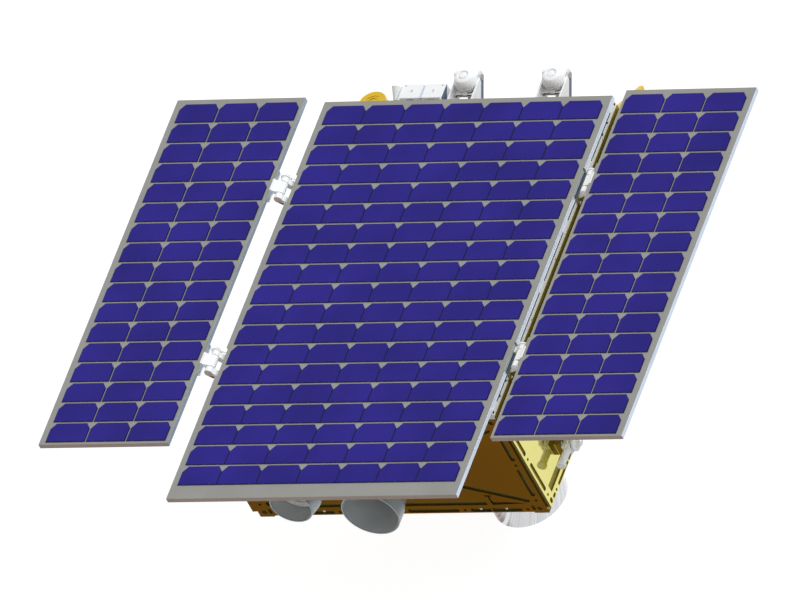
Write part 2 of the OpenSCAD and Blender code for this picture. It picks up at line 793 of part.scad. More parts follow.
hinge_leaf(LEFT, hinge_lower_y);  // hinge_leaf_left_lower
wing_panel(RIGHT);  // wing_panel_right
wing_cells(RIGHT);  // wing_cells_right
hinge_leaf(RIGHT, hinge_upper_y);  // hinge_leaf_right_upper
hinge_leaf(RIGHT, hinge_lower_y);  // hinge_leaf_right_lower
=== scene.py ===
"""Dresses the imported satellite: finishes for its plates, cells and instruments, and the small pieces
that sit on them. Shapes are drawn in millimetres and become metres as each piece is finished."""
import json
import math

import bmesh
import bpy
from mathutils import Matrix, Vector


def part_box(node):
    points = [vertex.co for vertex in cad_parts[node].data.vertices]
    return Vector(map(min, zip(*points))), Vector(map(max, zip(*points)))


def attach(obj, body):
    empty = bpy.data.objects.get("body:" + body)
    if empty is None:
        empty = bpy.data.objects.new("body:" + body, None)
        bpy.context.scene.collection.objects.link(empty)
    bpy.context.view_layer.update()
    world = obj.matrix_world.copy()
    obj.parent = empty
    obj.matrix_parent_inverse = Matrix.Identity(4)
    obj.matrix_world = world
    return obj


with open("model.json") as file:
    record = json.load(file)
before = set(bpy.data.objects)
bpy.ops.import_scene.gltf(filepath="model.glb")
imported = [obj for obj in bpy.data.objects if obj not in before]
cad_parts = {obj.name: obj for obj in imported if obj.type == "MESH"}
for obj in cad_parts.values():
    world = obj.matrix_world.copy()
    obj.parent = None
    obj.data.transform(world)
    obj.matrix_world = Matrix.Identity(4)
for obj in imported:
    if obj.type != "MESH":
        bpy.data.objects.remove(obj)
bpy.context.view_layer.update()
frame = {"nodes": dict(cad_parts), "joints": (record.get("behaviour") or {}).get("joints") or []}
NODES = frame["nodes"]
MM = 0.001
SIDES = {"left": -1, "right": 1}
ENDS = {"lower": -1, "upper": 1}


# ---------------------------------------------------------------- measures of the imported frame

def span(node):
    """Lowest and highest corner of a CAD node in millimetres."""
    low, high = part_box(node)
    return low / MM, high / MM


panel_low, panel_high = span("centre_panel")
wing_low, wing_high = span("wing_panel_right")
end_low, end_high = span("end_plate_upper")
side_low, side_high = span("side_plate_right")
deck_low, deck_high = span("back_deck")
rail_low, rail_high = span("rail_right")
ring_low, ring_high = span("adapter_foot")
cells_low, cells_high = span("centre_cells")
wing_cells_low, wing_cells_high = span("wing_cells_right")
BOX_X = end_high.x
END_Y = end_high.y
BOX_Z0 = deck_low.z
BOX_Z1 = rail_low.z
MID_Z = (BOX_Z0 + BOX_Z1) / 2
ring_height = ring_low.z + 78
SIDE_X = BOX_X + 8.7
PIN_X, PIN_Z = (value / MM for value in (frame["joints"][1]["pos_m"][0], frame["joints"][1]["pos_m"][2]))


# ---------------------------------------------------------------- placing

def at(x, y, z):
    return Matrix.Translation((x, y, z))


def turn(degrees, axis):
    return Matrix.Rotation(math.radians(degrees), 4, axis)


MIRROR_X = Matrix.Scale(-1, 4, (1, 0, 0))
MIRROR_Y = Matrix.Scale(-1, 4, (0, 1, 0))
UPRIGHT = Matrix.Identity(4)
FACING = {"+z": UPRIGHT, "-z": turn(180, "X"), "+x": turn(90, "Y"), "-x": turn(-90, "Y"),
          "+y": turn(-90, "X"), "-y": turn(90, "X")}


def flip(side, end=1):
    """Places what is drawn at the right and upper corner at any corner."""
    return (MIRROR_X if side < 0 else UPRIGHT) @ (MIRROR_Y if end < 0 else UPRIGHT)


# ---------------------------------------------------------------- shaping

def join(piece, part, place=UPRIGHT, finish=0):
    """Adds a part to a piece, with its doubles merged and its faces outwards."""
    bmesh.ops.remove_doubles(part, verts=part.verts, dist=1e-4)
    part.transform(place)
    bmesh.ops.recalc_face_normals(part, faces=part.faces)
    for face in part.faces:
        face.material_index = finish
    mesh = bpy.data.meshes.new("part")
    part.to_mesh(mesh)
    part.free()
    piece.from_mesh(mesh)
    bpy.data.meshes.remove(mesh)


def onto(facing, x, y, z):
    """Places what is drawn along +Z at a point, facing the named way."""
    return at(x, y, z) @ FACING[facing]


def outward(sign):
    return "+x" if sign > 0 else "-x"


def endward(sign):
    return "+y" if sign > 0 else "-y"


def turned(piece, profile, place=UPRIGHT, steps=32, finish=0):
    """Spins a profile of (radius, height) points about Z."""
    part = bmesh.new()
    chain = [part.verts.new((radius, 0, height)) for radius, height in profile]
    edges = [part.edges.new(pair) for pair in zip(chain, chain[1:])]
    bmesh.ops.spin(part, geom=chain + edges, cent=(0, 0, 0), axis=(0, 0, 1), angle=2 * math.pi,
                   steps=steps, use_merge=True)
    join(piece, part, place, finish)


def ring(piece, radii, heights, place=UPRIGHT, steps=32, finish=0, edge=0.3):
    """A turned ring of square section with its edges broken."""
    inner, outer = radii
    low, high = heights
    turned(piece, [(inner, low), (outer - edge, low), (outer, low + edge), (outer, high - edge),
                   (outer - edge, high), (inner + edge, high), (inner, high - edge), (inner, low)],
           place, steps, finish)


def block(piece, low, high, bevel=0.4, place=UPRIGHT, finish=0, segments=1):
    """A block between two corners with its edges broken."""
    low, high = Vector(low), Vector(high)
    part = bmesh.new()
    bmesh.ops.create_cube(part, size=1)
    bmesh.ops.scale(part, vec=high - low, verts=part.verts)
    bmesh.ops.translate(part, vec=(low + high) / 2, verts=part.verts)
    if bevel:
        bmesh.ops.bevel(part, geom=part.edges, offset=bevel, segments=segments, profile=0.5,
                        affect="EDGES", material=-1)
    join(piece, part, place, finish)


def plate(piece, outline, thickness, bevel=0.3, place=UPRIGHT, finish=0):
    """Extrudes an outline of (x, y) points upwards."""
    part = bmesh.new()
    face = part.faces.new([part.verts.new((x, y, 0)) for x, y in outline])
    top = bmesh.ops.extrude_face_region(part, geom=[face])["geom"]
    bmesh.ops.translate(part, vec=(0, 0, thickness), verts=[v for v in top if isinstance(v, bmesh.types.BMVert)])
    if bevel:
        bmesh.ops.bevel(part, geom=part.edges, offset=bevel, segments=1, profile=0.5, affect="EDGES",
                        material=-1)
    join(piece, part, place, finish)


def tube(piece, points, radius, steps=8, finish=0):
    """A round wire through the points, closed at both ends."""
    points = [Vector(p) for p in points]
    part = bmesh.new()
    loop = None
    for i, point in enumerate(points):
        ahead = points[min(i + 1, len(points) - 1)] - points[max(i - 1, 0)]
        place = Matrix.Translation(point) @ ahead.to_track_quat("Z", "Y").to_matrix().to_4x4()
        if loop is None:
            loop = bmesh.ops.create_circle(part, cap_ends=True, segments=steps, radius=radius, matrix=place)["verts"]
            edges = [e for e in part.edges]
            frame_in = place
            continue
        grown = bmesh.ops.extrude_edge_only(part, edges=edges)["geom"]
        verts = [v for v in grown if isinstance(v, bmesh.types.BMVert)]
        bmesh.ops.transform(part, matrix=place @ frame_in.inverted(), verts=verts)
        edges = [e for e in grown if isinstance(e, bmesh.types.BMEdge)]
        frame_in = place
    bmesh.ops.contextual_create(part, geom=edges)
    join(piece, part, UPRIGHT, finish)


def cap_screw(piece, place, radius=2.6, height=2.4, finish=0, steps=12):
    """A round screw head with a recess."""
    socket = radius * 0.5
    turned(piece, [(0, height * 0.35), (socket, height * 0.35), (socket, height), (radius - 0.3, height),
                   (radius, height - 0.3), (radius, 0)], place, steps, finish)


def hex_bolt(piece, place, radius=3.2, height=2.6, finish=0):
    """A hexagonal head on a washer."""
    turned(piece, [(0, height), (radius * 0.85, height), (radius, height * 0.8), (radius, 0.6)], place, 6, finish)
    turned(piece, [(0, 0.6), (radius * 1.35, 0.6), (radius * 1.35, 0)], place, 14, finish)


def eased(points, steps=5):
    """A smooth path through the points."""
    points = [Vector(p) for p in points]
    path = []
    last = len(points) - 1
    for i in range(last):
        a, b, c, d = (points[max(0, min(last, k))] for k in range(i - 1, i + 3))
        for t in (k / steps for k in range(steps)):
            path.append((2 * b + (c - a) * t + (2 * a - 5 * b + 4 * c - d) * t * t
                         + (3 * b - a - 3 * c + d) * t ** 3) / 2)
    return path + [points[-1]]


def harness(name, points, body, wires=3, radius=1.1, tie_every=4, flat=(1, 0, 0)):
    """Wires laid side by side along a smooth path, with a band round them every few points."""
    piece = bmesh.new()
    flat = Vector(flat)
    path = eased(points)
    for k in range(wires):
        shift = flat * (k - (wires - 1) / 2) * radius * 2
        tube(piece, [point + shift for point in path], radius, 7)
    half = wires * radius + 0.4
    for i in range(2, len(path) - 2, tie_every):
        ahead = (path[i + 1] - path[i - 1]).normalized()
        across = (flat - ahead * flat.dot(ahead)).normalized()
        place = Matrix.Translation(path[i]) @ Matrix((across, ahead.cross(across), ahead)).transposed().to_4x4()
        block(piece, (-half, -radius - 0.4, -1.3), (half, radius + 0.4, 1.3), 0.3, place, 1)
    done(name, piece, [WIRE, BLACK], body)


def connector(piece, place, length=30, depth=9, height=8):
    """A rectangular connector: flange, shell and two jack screws."""
    block(piece, (-length / 2, -height / 2, 0), (length / 2, height / 2, 1.6), 0.4, place)
    block(piece, (-length / 2 + 5, -height / 2 + 0.9, 1.6), (length / 2 - 5, height / 2 - 0.9, depth), 0.8, place, 1)
    for s in (-1, 1):
        cap_screw(piece, place @ at(s * (length / 2 - 2.5), 0, 1.6), 1.6, 1.4)


def screws(name, places, body, finish, radius=2.2, height=1.8, steps=12):
    """One piece made of screw heads at all the places."""
    piece = bmesh.new()
    for place in places:
        cap_screw(piece, place, radius, height, 0, steps)
    done(name, piece, [finish], body)


def done(name, piece, finishes, body, sharp=32):
    """Makes the finished piece an object in metres and lets it ride on its body."""
    bmesh.ops.scale(piece, vec=(MM, MM, MM), verts=piece.verts)
    for edge in piece.edges:
        edge.smooth = len(edge.link_faces) == 2 and edge.calc_face_angle(0) < math.radians(sharp)
    for face in piece.faces:
        face.smooth = True
    mesh = bpy.data.meshes.new(name)
    piece.to_mesh(mesh)
    piece.free()
    for finish in finishes:
        mesh.materials.append(finish)
    thing = bpy.data.objects.new(name, mesh)
    bpy.context.scene.collection.objects.link(thing)
    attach(thing, body)
    return thing


# ---------------------------------------------------------------- finishes

def linear(red, green, blue):
    """The colour that a screen shows as these three values of 0 to 255."""
    values = [v / 255 for v in (red, green, blue)]
    return tuple(v / 12.92 if v <= 0.04045 else ((v + 0.055) / 1.055) ** 2.4 for v in values) + (1,)


class Finish:
    """A material and the nodes that its patterns are made of."""

    def __init__(self, name, colour, roughness, metallic=0.0, specular=0.5, coat=0.0):
        self.material = bpy.data.materials.new(name)
        self.material.use_nodes = True
        self.nodes = self.material.node_tree.nodes
        self.links = self.material.node_tree.links
        self.shader = self.nodes["Principled BSDF"]
        self.colour = linear(*colour)
        self.roughness = roughness
        self.set("Base Color", self.colour)
        self.set("Roughness", roughness)
        self.set("Metallic", metallic)
        self.set("Specular IOR Level", specular)
        self.set("Coat Weight", coat)
        self.place = self.nodes.new("ShaderNodeTexCoord").outputs["Object"]

    def set(self, socket, value):
        self.shader.inputs[socket].default_value = value

    def add(self, kind, values=(), **settings):
        node = self.nodes.new("ShaderNode" + kind)
        for key, value in settings.items():
            setattr(node, key, value)
        for key, value in dict(values).items():
            if isinstance(value, bpy.types.NodeSocket):
                self.links.new(value, node.inputs[key])
            else:
                node.inputs[key].default_value = value
        return node

    def scaled(self, x, y, z):
        return self.add("Mapping", {"Vector": self.place, "Scale": (x, y, z)}).outputs["Vector"]

    def noise(self, scale, detail=3.0, stretch=(1, 1, 1), rough=0.5):
        return self.add("TexNoise", {"Vector": self.scaled(*stretch), "Scale": scale, "Detail": detail,
                                     "Roughness": rough}).outputs["Fac"]

    def math(self, operation, *values, clamp=False):
        node = self.nodes.new("ShaderNodeMath")
        node.operation = operation
        node.use_clamp = clamp
        for socket, value in zip(node.inputs, values):
            if isinstance(value, bpy.types.NodeSocket):
                self.links.new(value, socket)
            else:
                socket.default_value = value
        return node.outputs[0]

    def between(self, value, low, high, out_low, out_high):
        return self.add("MapRange", {"Value": value, "From Min": low, "From Max": high, "To Min": out_low,
                                     "To Max": out_high}).outputs["Result"]

    def mix(self, share, first, second):
        node = self.nodes.new("ShaderNodeMix")
        node.data_type = "RGBA"
        for socket, value in ((node.inputs[0], share), (node.inputs[6], first), (node.inputs[7], second)):
            if isinstance(value, bpy.types.NodeSocket):
                self.links.new(value, socket)
            else:
                socket.default_value = value
        return node.outputs[2]

    def wire(self, socket, value):
        self.links.new(value, self.shader.inputs[socket])

    def bump(self, height, strength, distance):
        node = self.add("Bump", {"Height": height, "Strength": strength, "Distance": distance})
        self.wire("Normal", node.outputs["Normal"])

    def mottle(self, amount=0.08, scale=30, base=None):
        """Cloudy lighter and darker colour round the base."""
        share = self.between(self.noise(scale), 0.3, 0.7, 0, 1)
        light = [min(1, c * (1 + amount)) for c in self.colour[:3]] + [1]
        dark = [c * (1 - amount) for c in self.colour[:3]] + [1]
        return self.mix(share, dark, light)


def machined(name, colours, axis, face_at, core_at, roughness, metallic=1.0):
    """Milled and chromated plate: fine tool marks on the face and duller floors in its pockets. The pocket floors, the
    edges, the ends, the top and what stands proud take their own darker colours, which are painted shade."""
    face, floor, core, proud, ends, top = colours
    f = Finish(name, face, roughness, metallic)
    f.set("Specular Tint", (0.5, 0.5, 0.5, 1))
    spot = f.add("SeparateXYZ", {"Vector": f.place})
    across = f.math("ABSOLUTE", spot.outputs["XYZ".index(axis)])
    in_pocket = f.math("LESS_THAN", across, (face_at - 0.4) * MM)
    in_core = f.math("LESS_THAN", across, (core_at - 0.2) * MM)
    stands = f.math("GREATER_THAN", across, (face_at + 0.3) * MM)
    shaded_end = f.math("GREATER_THAN", f.math("ABSOLUTE", spot.outputs["Y"]), (END_Y - 0.3) * MM)
    shaded_top = f.math("GREATER_THAN", spot.outputs["Z"], (side_high.z - 0.3) * MM)
    # Colours of pocket floors, proud parts, ends and top: painted shade.
    shaded_floor_clouds = f.mix(f.between(f.noise(40), 0.3, 0.7, 0, 1), linear(*floor), linear(*(v * 0.85 for v in floor)))
    inner = f.mix(in_core, shaded_floor_clouds, linear(*core))
    colour = f.mix(stands, f.mix(in_pocket, f.mottle(0.05, 9), inner), linear(*proud))
    dull = f.math("MAXIMUM", in_pocket, stands)
    if axis == "X":
        colour = f.mix(shaded_top, f.mix(shaded_end, colour, linear(*ends)), linear(*top))
        dull = f.math("MAXIMUM", f.math("MAXIMUM", dull, shaded_end), shaded_top)
    f.wire("Base Color", colour)
    f.wire("Metallic", f.between(dull, 0, 1, metallic, 0.4))
    marks = f.noise(900, 2, (1, 0.06, 1) if axis == "X" else (0.06, 1, 1))
    uneven = f.between(f.math("ADD", f.noise(30), f.math("MULTIPLY", marks, 0.3)), 0.3, 1.0,
                       roughness * 0.7, roughness * 1.4)
    f.wire("Roughness", f.math("MAXIMUM", uneven, f.math("MULTIPLY", dull, 0.4)))
    f.bump(marks, 0.03, 0.0001)
    return f.material


def painted(name, colour, roughness=0.5, grain=0.06, metallic=0.0, specular=0.4):
    """Sprayed paint with a faint orange peel and a little handling dirt."""
    f = Finish(name, colour, roughness, metallic, specular)
    f.wire("Base Color", f.mottle(grain, 22))
    f.wire("Roughness", f.between(f.noise(40), 0.3, 0.7, roughness * 0.85, min(1, roughness * 1.2)))
    f.bump(f.noise(1500, 2), 0.12, 0.00015)
    return f.material


def brushed(name, colour, roughness=0.25, metallic=1.0, stretch=(1, 1, 0.05)):
    """Turned or drawn metal with fine lines."""
    f = Finish(name, colour, roughness, metallic)
    lines = f.noise(1100, 2, stretch)
    f.wire("Base Color", f.mottle(0.05, 25))
    f.wire("Roughness", f.between(lines, 0.3, 0.7, roughness * 0.75, roughness * 1.35))
    f.bump(lines, 0.1, 0.00012)
    return f.material


def cell_finish(name, node, columns, rows, column_pitch, row_pitch, size):
    """Cover glass over a dark blue cell: fine grid fingers, and a darker rim along two edges of each cell that is
    painted shade of the cell's thickness.
    """
    low, high = span(node)
    f = Finish(name, (52, 47, 134), 0.3, 0.0, 0.08)
    spot = f.add("SeparateXYZ", {"Vector": f.place})

    def from_edge(socket, start, pitch, width):
        """Distance in millimetres from the low and the high edge of the cell."""
        here = f.math("MODULO", f.math("SUBTRACT", f.math("DIVIDE", socket, MM), start), pitch)
        return here, f.math("SUBTRACT", width, here)

    left, right = from_edge(spot.outputs["X"], low.x, column_pitch, size[0])
    bottom, top = from_edge(spot.outputs["Y"], low.y, row_pitch, size[1])
    near = f.math("MINIMUM", left, top)
    # Darker rim along two edges: painted shade.
    rim = f.between(near, 0.4, 1.6, 1, 0)
    bar = f.between(f.math("MINIMUM", right, bottom), 1.7, 2.3, 1, 0)
    finger = f.math("LESS_THAN", f.math("MODULO", left, 1.9), 0.3)
    tab = f.math("LESS_THAN", f.math("ABSOLUTE", f.math("SUBTRACT", f.math("MODULO", left, 22.9), 11.4)), 1.6)
    face = f.mix(f.between(f.noise(9, 2), 0.3, 0.7, 0, 1), linear(35, 28, 119), linear(44, 35, 138))
    face = f.mix(f.math("MULTIPLY", finger, 0.14), face, linear(92, 90, 168))
    face = f.mix(f.math("MULTIPLY", rim, 0.7), face, linear(44, 40, 104))
    solder = f.mix(f.math("MULTIPLY", tab, f.math("LESS_THAN", bottom, 1.2)), linear(24, 21, 78), linear(58, 58, 84))
    f.wire("Base Color", f.mix(bar, face, solder))
    f.bump(f.noise(25, 1), 0.02, 0.001)
    return f.material


def sheet_finish():
    """Matt face sheet of the solar panels, a fine laid weave under grey paint."""
    f = Finish("panel_sheet", (151, 150, 145), 0.6, 0.0, 0.3)
    spot = f.add("SeparateXYZ", {"Vector": f.place})
    threads = [f.math("SINE", f.math("MULTIPLY", spot.outputs[k], 5200)) for k in (0, 1)]
    weave = f.math("MULTIPLY", *threads)
    f.wire("Base Color", f.mottle(0.05, 18))
    f.bump(weave, 0.1, 0.0001)
    return f.material


def baffle_finish():
    """Anodised baffle with turning lines."""
    f = Finish("baffle_outside", (186, 197, 204), 0.38, 0.3, 0.4)
    f.wire("Base Color", f.mottle(0.05, 20))
    lines = f.noise(700, 2, (0.1, 1, 0.1))
    f.bump(lines, 0.1, 0.0002)
    return f.material


def canister_finish():
    """Polished drum skin with fine slanting streaks; the dark pinkish streaks on one flank are a painted reflection."""
    low, high = span("back_canister")
    f = Finish("polished_canister_painted_reflection", (236, 239, 242), 0.14, 0.75)
    lie = f.add("VectorMath", {0: f.place, 1: (0.77, 0.64, -0.431)}, operation="DOT_PRODUCT").outputs["Value"]
    streaks = f.add("TexNoise", {"Vector": lie, "Scale": 62, "Detail": 3}).outputs["Fac"]
    fine = f.add("TexNoise", {"Vector": lie, "Scale": 240, "Detail": 2}).outputs["Fac"]
    x = f.add("SeparateXYZ", {"Vector": f.place}).outputs["X"]
    # Dark pinkish streak colour, strongest on the low-x flank: painted reflection.
    reflection_flank = f.between(x, (low.x + 34) * MM, (low.x + 56) * MM, 1, 0.18)
    dark = f.mix(f.between(fine, 0.4, 0.6, 0, 1), linear(60, 44, 48), linear(160, 122, 114))
    share = f.math("MULTIPLY", f.between(streaks, 0.4, 0.5, 0, 1), reflection_flank)
    f.wire("Base Color", f.mix(share, f.mix(f.between(fine, 0.35, 0.65, 0, 1), linear(224, 230, 234), linear(244, 246, 248)), dark))
    f.wire("Roughness", f.between(fine, 0.3, 0.7, 0.1, 0.22))
    f.bump(streaks, 0.05, 0.0004)
    return f.material


def hinge_finish():
    """White knuckles; the foot near the box's side is olive, which is painted shade."""
    f = Finish("hinge_base_paint_shaded_foot", (252, 253, 253), 0.45, 0.0, 0.4)
    x = f.add("SeparateXYZ", {"Vector": f.place}).outputs["X"]
    # Olive foot near the box's side: painted shade.
    foot = f.math("LESS_THAN", f.math("ABSOLUTE", x), (BOX_X + 3.1) * MM)
    f.wire("Base Color", f.mix(foot, f.mottle(0.02, 22), linear(132, 116, 44)))
    f.wire("Roughness", f.between(f.noise(40), 0.3, 0.7, 0.4, 0.55))
    f.bump(f.noise(1500, 2), 0.12, 0.00015)
    return f.material


def glass_finish():
    f = Finish("lens_glass", (58, 66, 74), 0.06, 0.0, 0.8, 1.0)
    spot = f.noise(6, 1)
    f.wire("Base Color", f.mix(f.between(spot, 0.3, 0.7, 0, 1), linear(44, 52, 70), linear(92, 96, 92)))
    return f.material


# Face, pocket floor, pocket core, proud parts, ends and top; all but the face are painted shade.
GOLD_SIDE = machined("gold_side_plate", ((232, 225, 145), (158, 143, 44), (132, 118, 34), (128, 102, 26), (108, 74, 16),
                                         (118, 102, 20)), "X", SIDE_X, SIDE_X - 2.5, 0.06)
# End plates: the side plates' gold, coloured brown as painted shade.
GOLD_END_SHADED = machined("gold_end_plate_painted_shade", ((99, 66, 16), (102, 88, 26), (102, 88, 26), (99, 66, 16), (99, 66, 16), (99, 66, 16)),
                    "Y", END_Y, END_Y - 3, 0.24)
GOLD_DECK = brushed("gold_deck", (170, 146, 62), 0.3, 0.9, (1, 0.05, 1))
GOLD_PART = brushed("gold_fitting", (222, 182, 50), 0.25, 0.85)
STEEL = brushed("fastener_steel", (196, 198, 202), 0.25)
DARK_STEEL = brushed("dark_fastener", (104, 98, 84), 0.35)
SILVER = brushed("polished_silver", (222, 224, 228), 0.1)
RING_METAL = brushed("ring_metal", (192, 195, 200), 0.24)
INNER = brushed("inner_metal", (140, 140, 143), 0.4)
WHITE = painted("white_paint", (252, 253, 253), 0.45, 0.01)
RAIL = painted("rail_paint", (248, 249, 243), 0.5, 0.02)
EDGE = brushed("panel_edge_trim", (210, 221, 237), 0.35, 0.2, (0.05, 0.05, 1))
# Darker copy of the trim for end edges: painted shade.
EDGE_END_SHADE = brushed("panel_end_trim_painted_shade", (155, 139, 128), 0.4, 0.1, (0.05, 0.05, 1))
# Darker copy of the trim for inner edges: painted shade.
EDGE_INNER_SHADE = brushed("panel_inner_trim_painted_shade", (158, 173, 187), 0.4, 0.1, (0.05, 0.05, 1))
# Slate film: painted shade.
SLATE_SHADE = painted("slate_painted_shade_film", (98, 112, 130), 0.5, 0.08)
# Olive paint: painted shade.
OLIVE_SHADE = painted("olive_painted_shade_strip", (128, 110, 20), 0.45, 0.1, 0.3)
# Dark olive heads: painted shade in holes and pockets.
DARK_OLIVE_SHADE = painted("dark_olive_painted_shade_head", (66, 56, 16), 0.4, 0.1, 0.4)
# Relief grey: painted shade.
RELIEF_SHADE = painted("grey_relief_painted_shade_film", (175, 180, 180), 0.5, 0.08)
PALE_TAB = painted("pale_gold_tab", (206, 188, 92), 0.4, 0.06)
# Umber film: painted shade.
UMBER_SHADE = painted("umber_painted_shade_film", (126, 106, 88), 0.5, 0.08)
# Grey-brown washer paint: painted shade.
GREY_BROWN_SHADE = painted("grey_brown_painted_shade_washer", (205, 194, 186), 0.45, 0.05)
EAR_GREY = painted("grey_fitting", (172, 170, 170), 0.5, 0.05)
# Pale blue film: painted shade.
PALE_BLUE_SHADE = painted("pale_blue_painted_shade_film", (206, 217, 232), 0.45, 0.04)
GOLD_LIGHT = brushed("light_gold", (224, 188, 40), 0.25, 0.8)
# Bright gold: painted highlight.
GOLD_HIGHLIGHT = brushed("bright_gold_painted_highlight", (246, 222, 96), 0.2, 0.7)
SHEET = sheet_finish()
BAFFLE = baffle_finish()
# Pale baffle inside: painted light.
BAFFLE_IN_LIT = painted("baffle_inside_painted_light", (198, 203, 205), 0.5, 0.1, 0.2)
BAFFLE_RIM = brushed("baffle_rim", (166, 175, 181), 0.35, 0.3)
# Near-white glass paint: painted light.
GLASS_PAINTED_LIGHT = painted("pale_glass_painted_light", (250, 247, 240), 0.12, 0.02, 0.0, 0.8)
GLASS = glass_finish()
CANISTER = canister_finish()
HINGE_BASE_SHADED_FOOT = hinge_finish()
BLACK = painted("black_anodise", (34, 34, 36), 0.45, 0.08)
WIRE = painted("wire_jacket", (214, 212, 204), 0.4, 0.03)
TAPE = painted("amber_film", (176, 118, 40), 0.2, 0.08, 0.3)
MIRROR_TILE = brushed("mirror_tile", (206, 212, 222), 0.08)
CENTRE_CELL = cell_finish("centre_cell", "centre_cells", 7, 19, 69.9, 40.84, (69.6, 37.8))
WING_CELL = {side: cell_finish("wing_cell_" + side, "wing_cells_" + side, 3, 17, 71.7, 40.84, (69.6, 37.8))
             for side in SIDES}

NODE_FINISH = {
    "adapter_ring": RING_METAL, "adapter_foot": RING_METAL, "adapter_head": RING_METAL,
    "back_deck": GOLD_DECK, "front_deck": GOLD_DECK, "end_plate_lower": GOLD_END_SHADED, "end_plate_upper": GOLD_END_SHADED,
    "side_plate_left": GOLD_SIDE, "side_plate_right": GOLD_SIDE, "avionics_stack": INNER,
    "back_canister": CANISTER, "rail_left": RAIL, "rail_right": RAIL, "centre_panel": SHEET,
    "centre_cells": CENTRE_CELL, "baffle_large": BAFFLE, "baffle_small": BAFFLE, "lens_large": BLACK,
    "lens_small": WHITE, "gold_drum": GOLD_PART, "corner_bracket": GOLD_PART,
    "hinge_base_left_upper": HINGE_BASE_SHADED_FOOT, "hinge_base_left_lower": HINGE_BASE_SHADED_FOOT,
    "hinge_base_right_upper": HINGE_BASE_SHADED_FOOT, "hinge_base_right_lower": HINGE_BASE_SHADED_FOOT,
    "wing_panel_left": SHEET, "wing_panel_right": SHEET, "wing_cells_left": WING_CELL["left"],
    "wing_cells_right": WING_CELL["right"],
}
for name, node in NODES.items():
    finish = NODE_FINISH.get(name, WHITE)
    node.data.materials.clear()
    node.data.materials.append(finish)


# ---------------------------------------------------------------- solar panels

def runs(start, stop, gaps):
    """What is left of a length once the gaps are taken out."""
    left = []
    for low, high in sorted(gaps):
        left.append((start, low))
        start = high
    return left + [(start, stop)]


def edge_trim(name, low, high, body, gaps, inner=0):
    """Thin strips on a panel's four edges, left out where the hinges stand; the end strips and a wing's inner strips
    take darker copies of the trim as painted shade.
    """
    piece = bmesh.new()
    for side in (-1, 1):
        x = high.x if side > 0 else low.x
        finish = 2 if side == inner else 0
        for y0, y1 in runs(low.y, high.y, gaps if inner in (0, side) else []):
            block(piece, (min(x, x + side * TRIM), y0, low.z), (max(x, x + side * TRIM), y1, high.z), 0.12,
                  finish=finish)
        y = high.y if side > 0 else low.y
        block(piece, (low.x, min(y, y + side * TRIM), low.z), (high.x, max(y, y + side * TRIM), high.z), 0.12,
              finish=1)
    done(name, piece, [EDGE, EDGE_END_SHADE, EDGE_INNER_SHADE], body)


TRIM = 0.5
hinge_rows = []
for end in ENDS:
    low, high = span("hinge_leaf_right_" + end)
    hinge_rows.append((low.y, high.y))
HINGE_Y = {end: (low + high) / 2 for end, (low, high) in zip(ENDS, hinge_rows)}
LEAF_HALF = (hinge_rows[0][1] - hinge_rows[0][0]) / 2
edge_trim("edge_trim_centre", panel_low, panel_high, "bus", hinge_rows)
for side, sign in SIDES.items():
    edge_trim("edge_trim_wing_" + side, *span("wing_panel_" + side), "wing_" + side, hinge_rows, inner=-sign)

relief_film = bmesh.new()
for sign in SIDES.values():
    x0, x1 = sorted((sign * (BOX_X + TRIM), sign * (BOX_X + TRIM + 0.2)))
    for y0, y1 in runs(-END_Y, panel_high.y, hinge_rows):
        block(relief_film, (x0, y0, panel_low.z), (x1, y1, panel_low.z + 1.9), 0.05, finish=1)
    # Grey films on the walls of the hinge cut-outs: painted shade of the cut-outs.
    for y0, y1 in hinge_rows:
        block(relief_film, (min(sign * (BOX_X - 3), sign * (BOX_X - 2.6)), y0 + 0.5, panel_low.z + 0.3),
              (max(sign * (BOX_X - 3), sign * (BOX_X - 2.6)), y1 - 0.5, panel_high.z - 0.3), 0.1)
done("hinge_relief_shade_film", relief_film, [RELIEF_SHADE, WHITE], "bus")

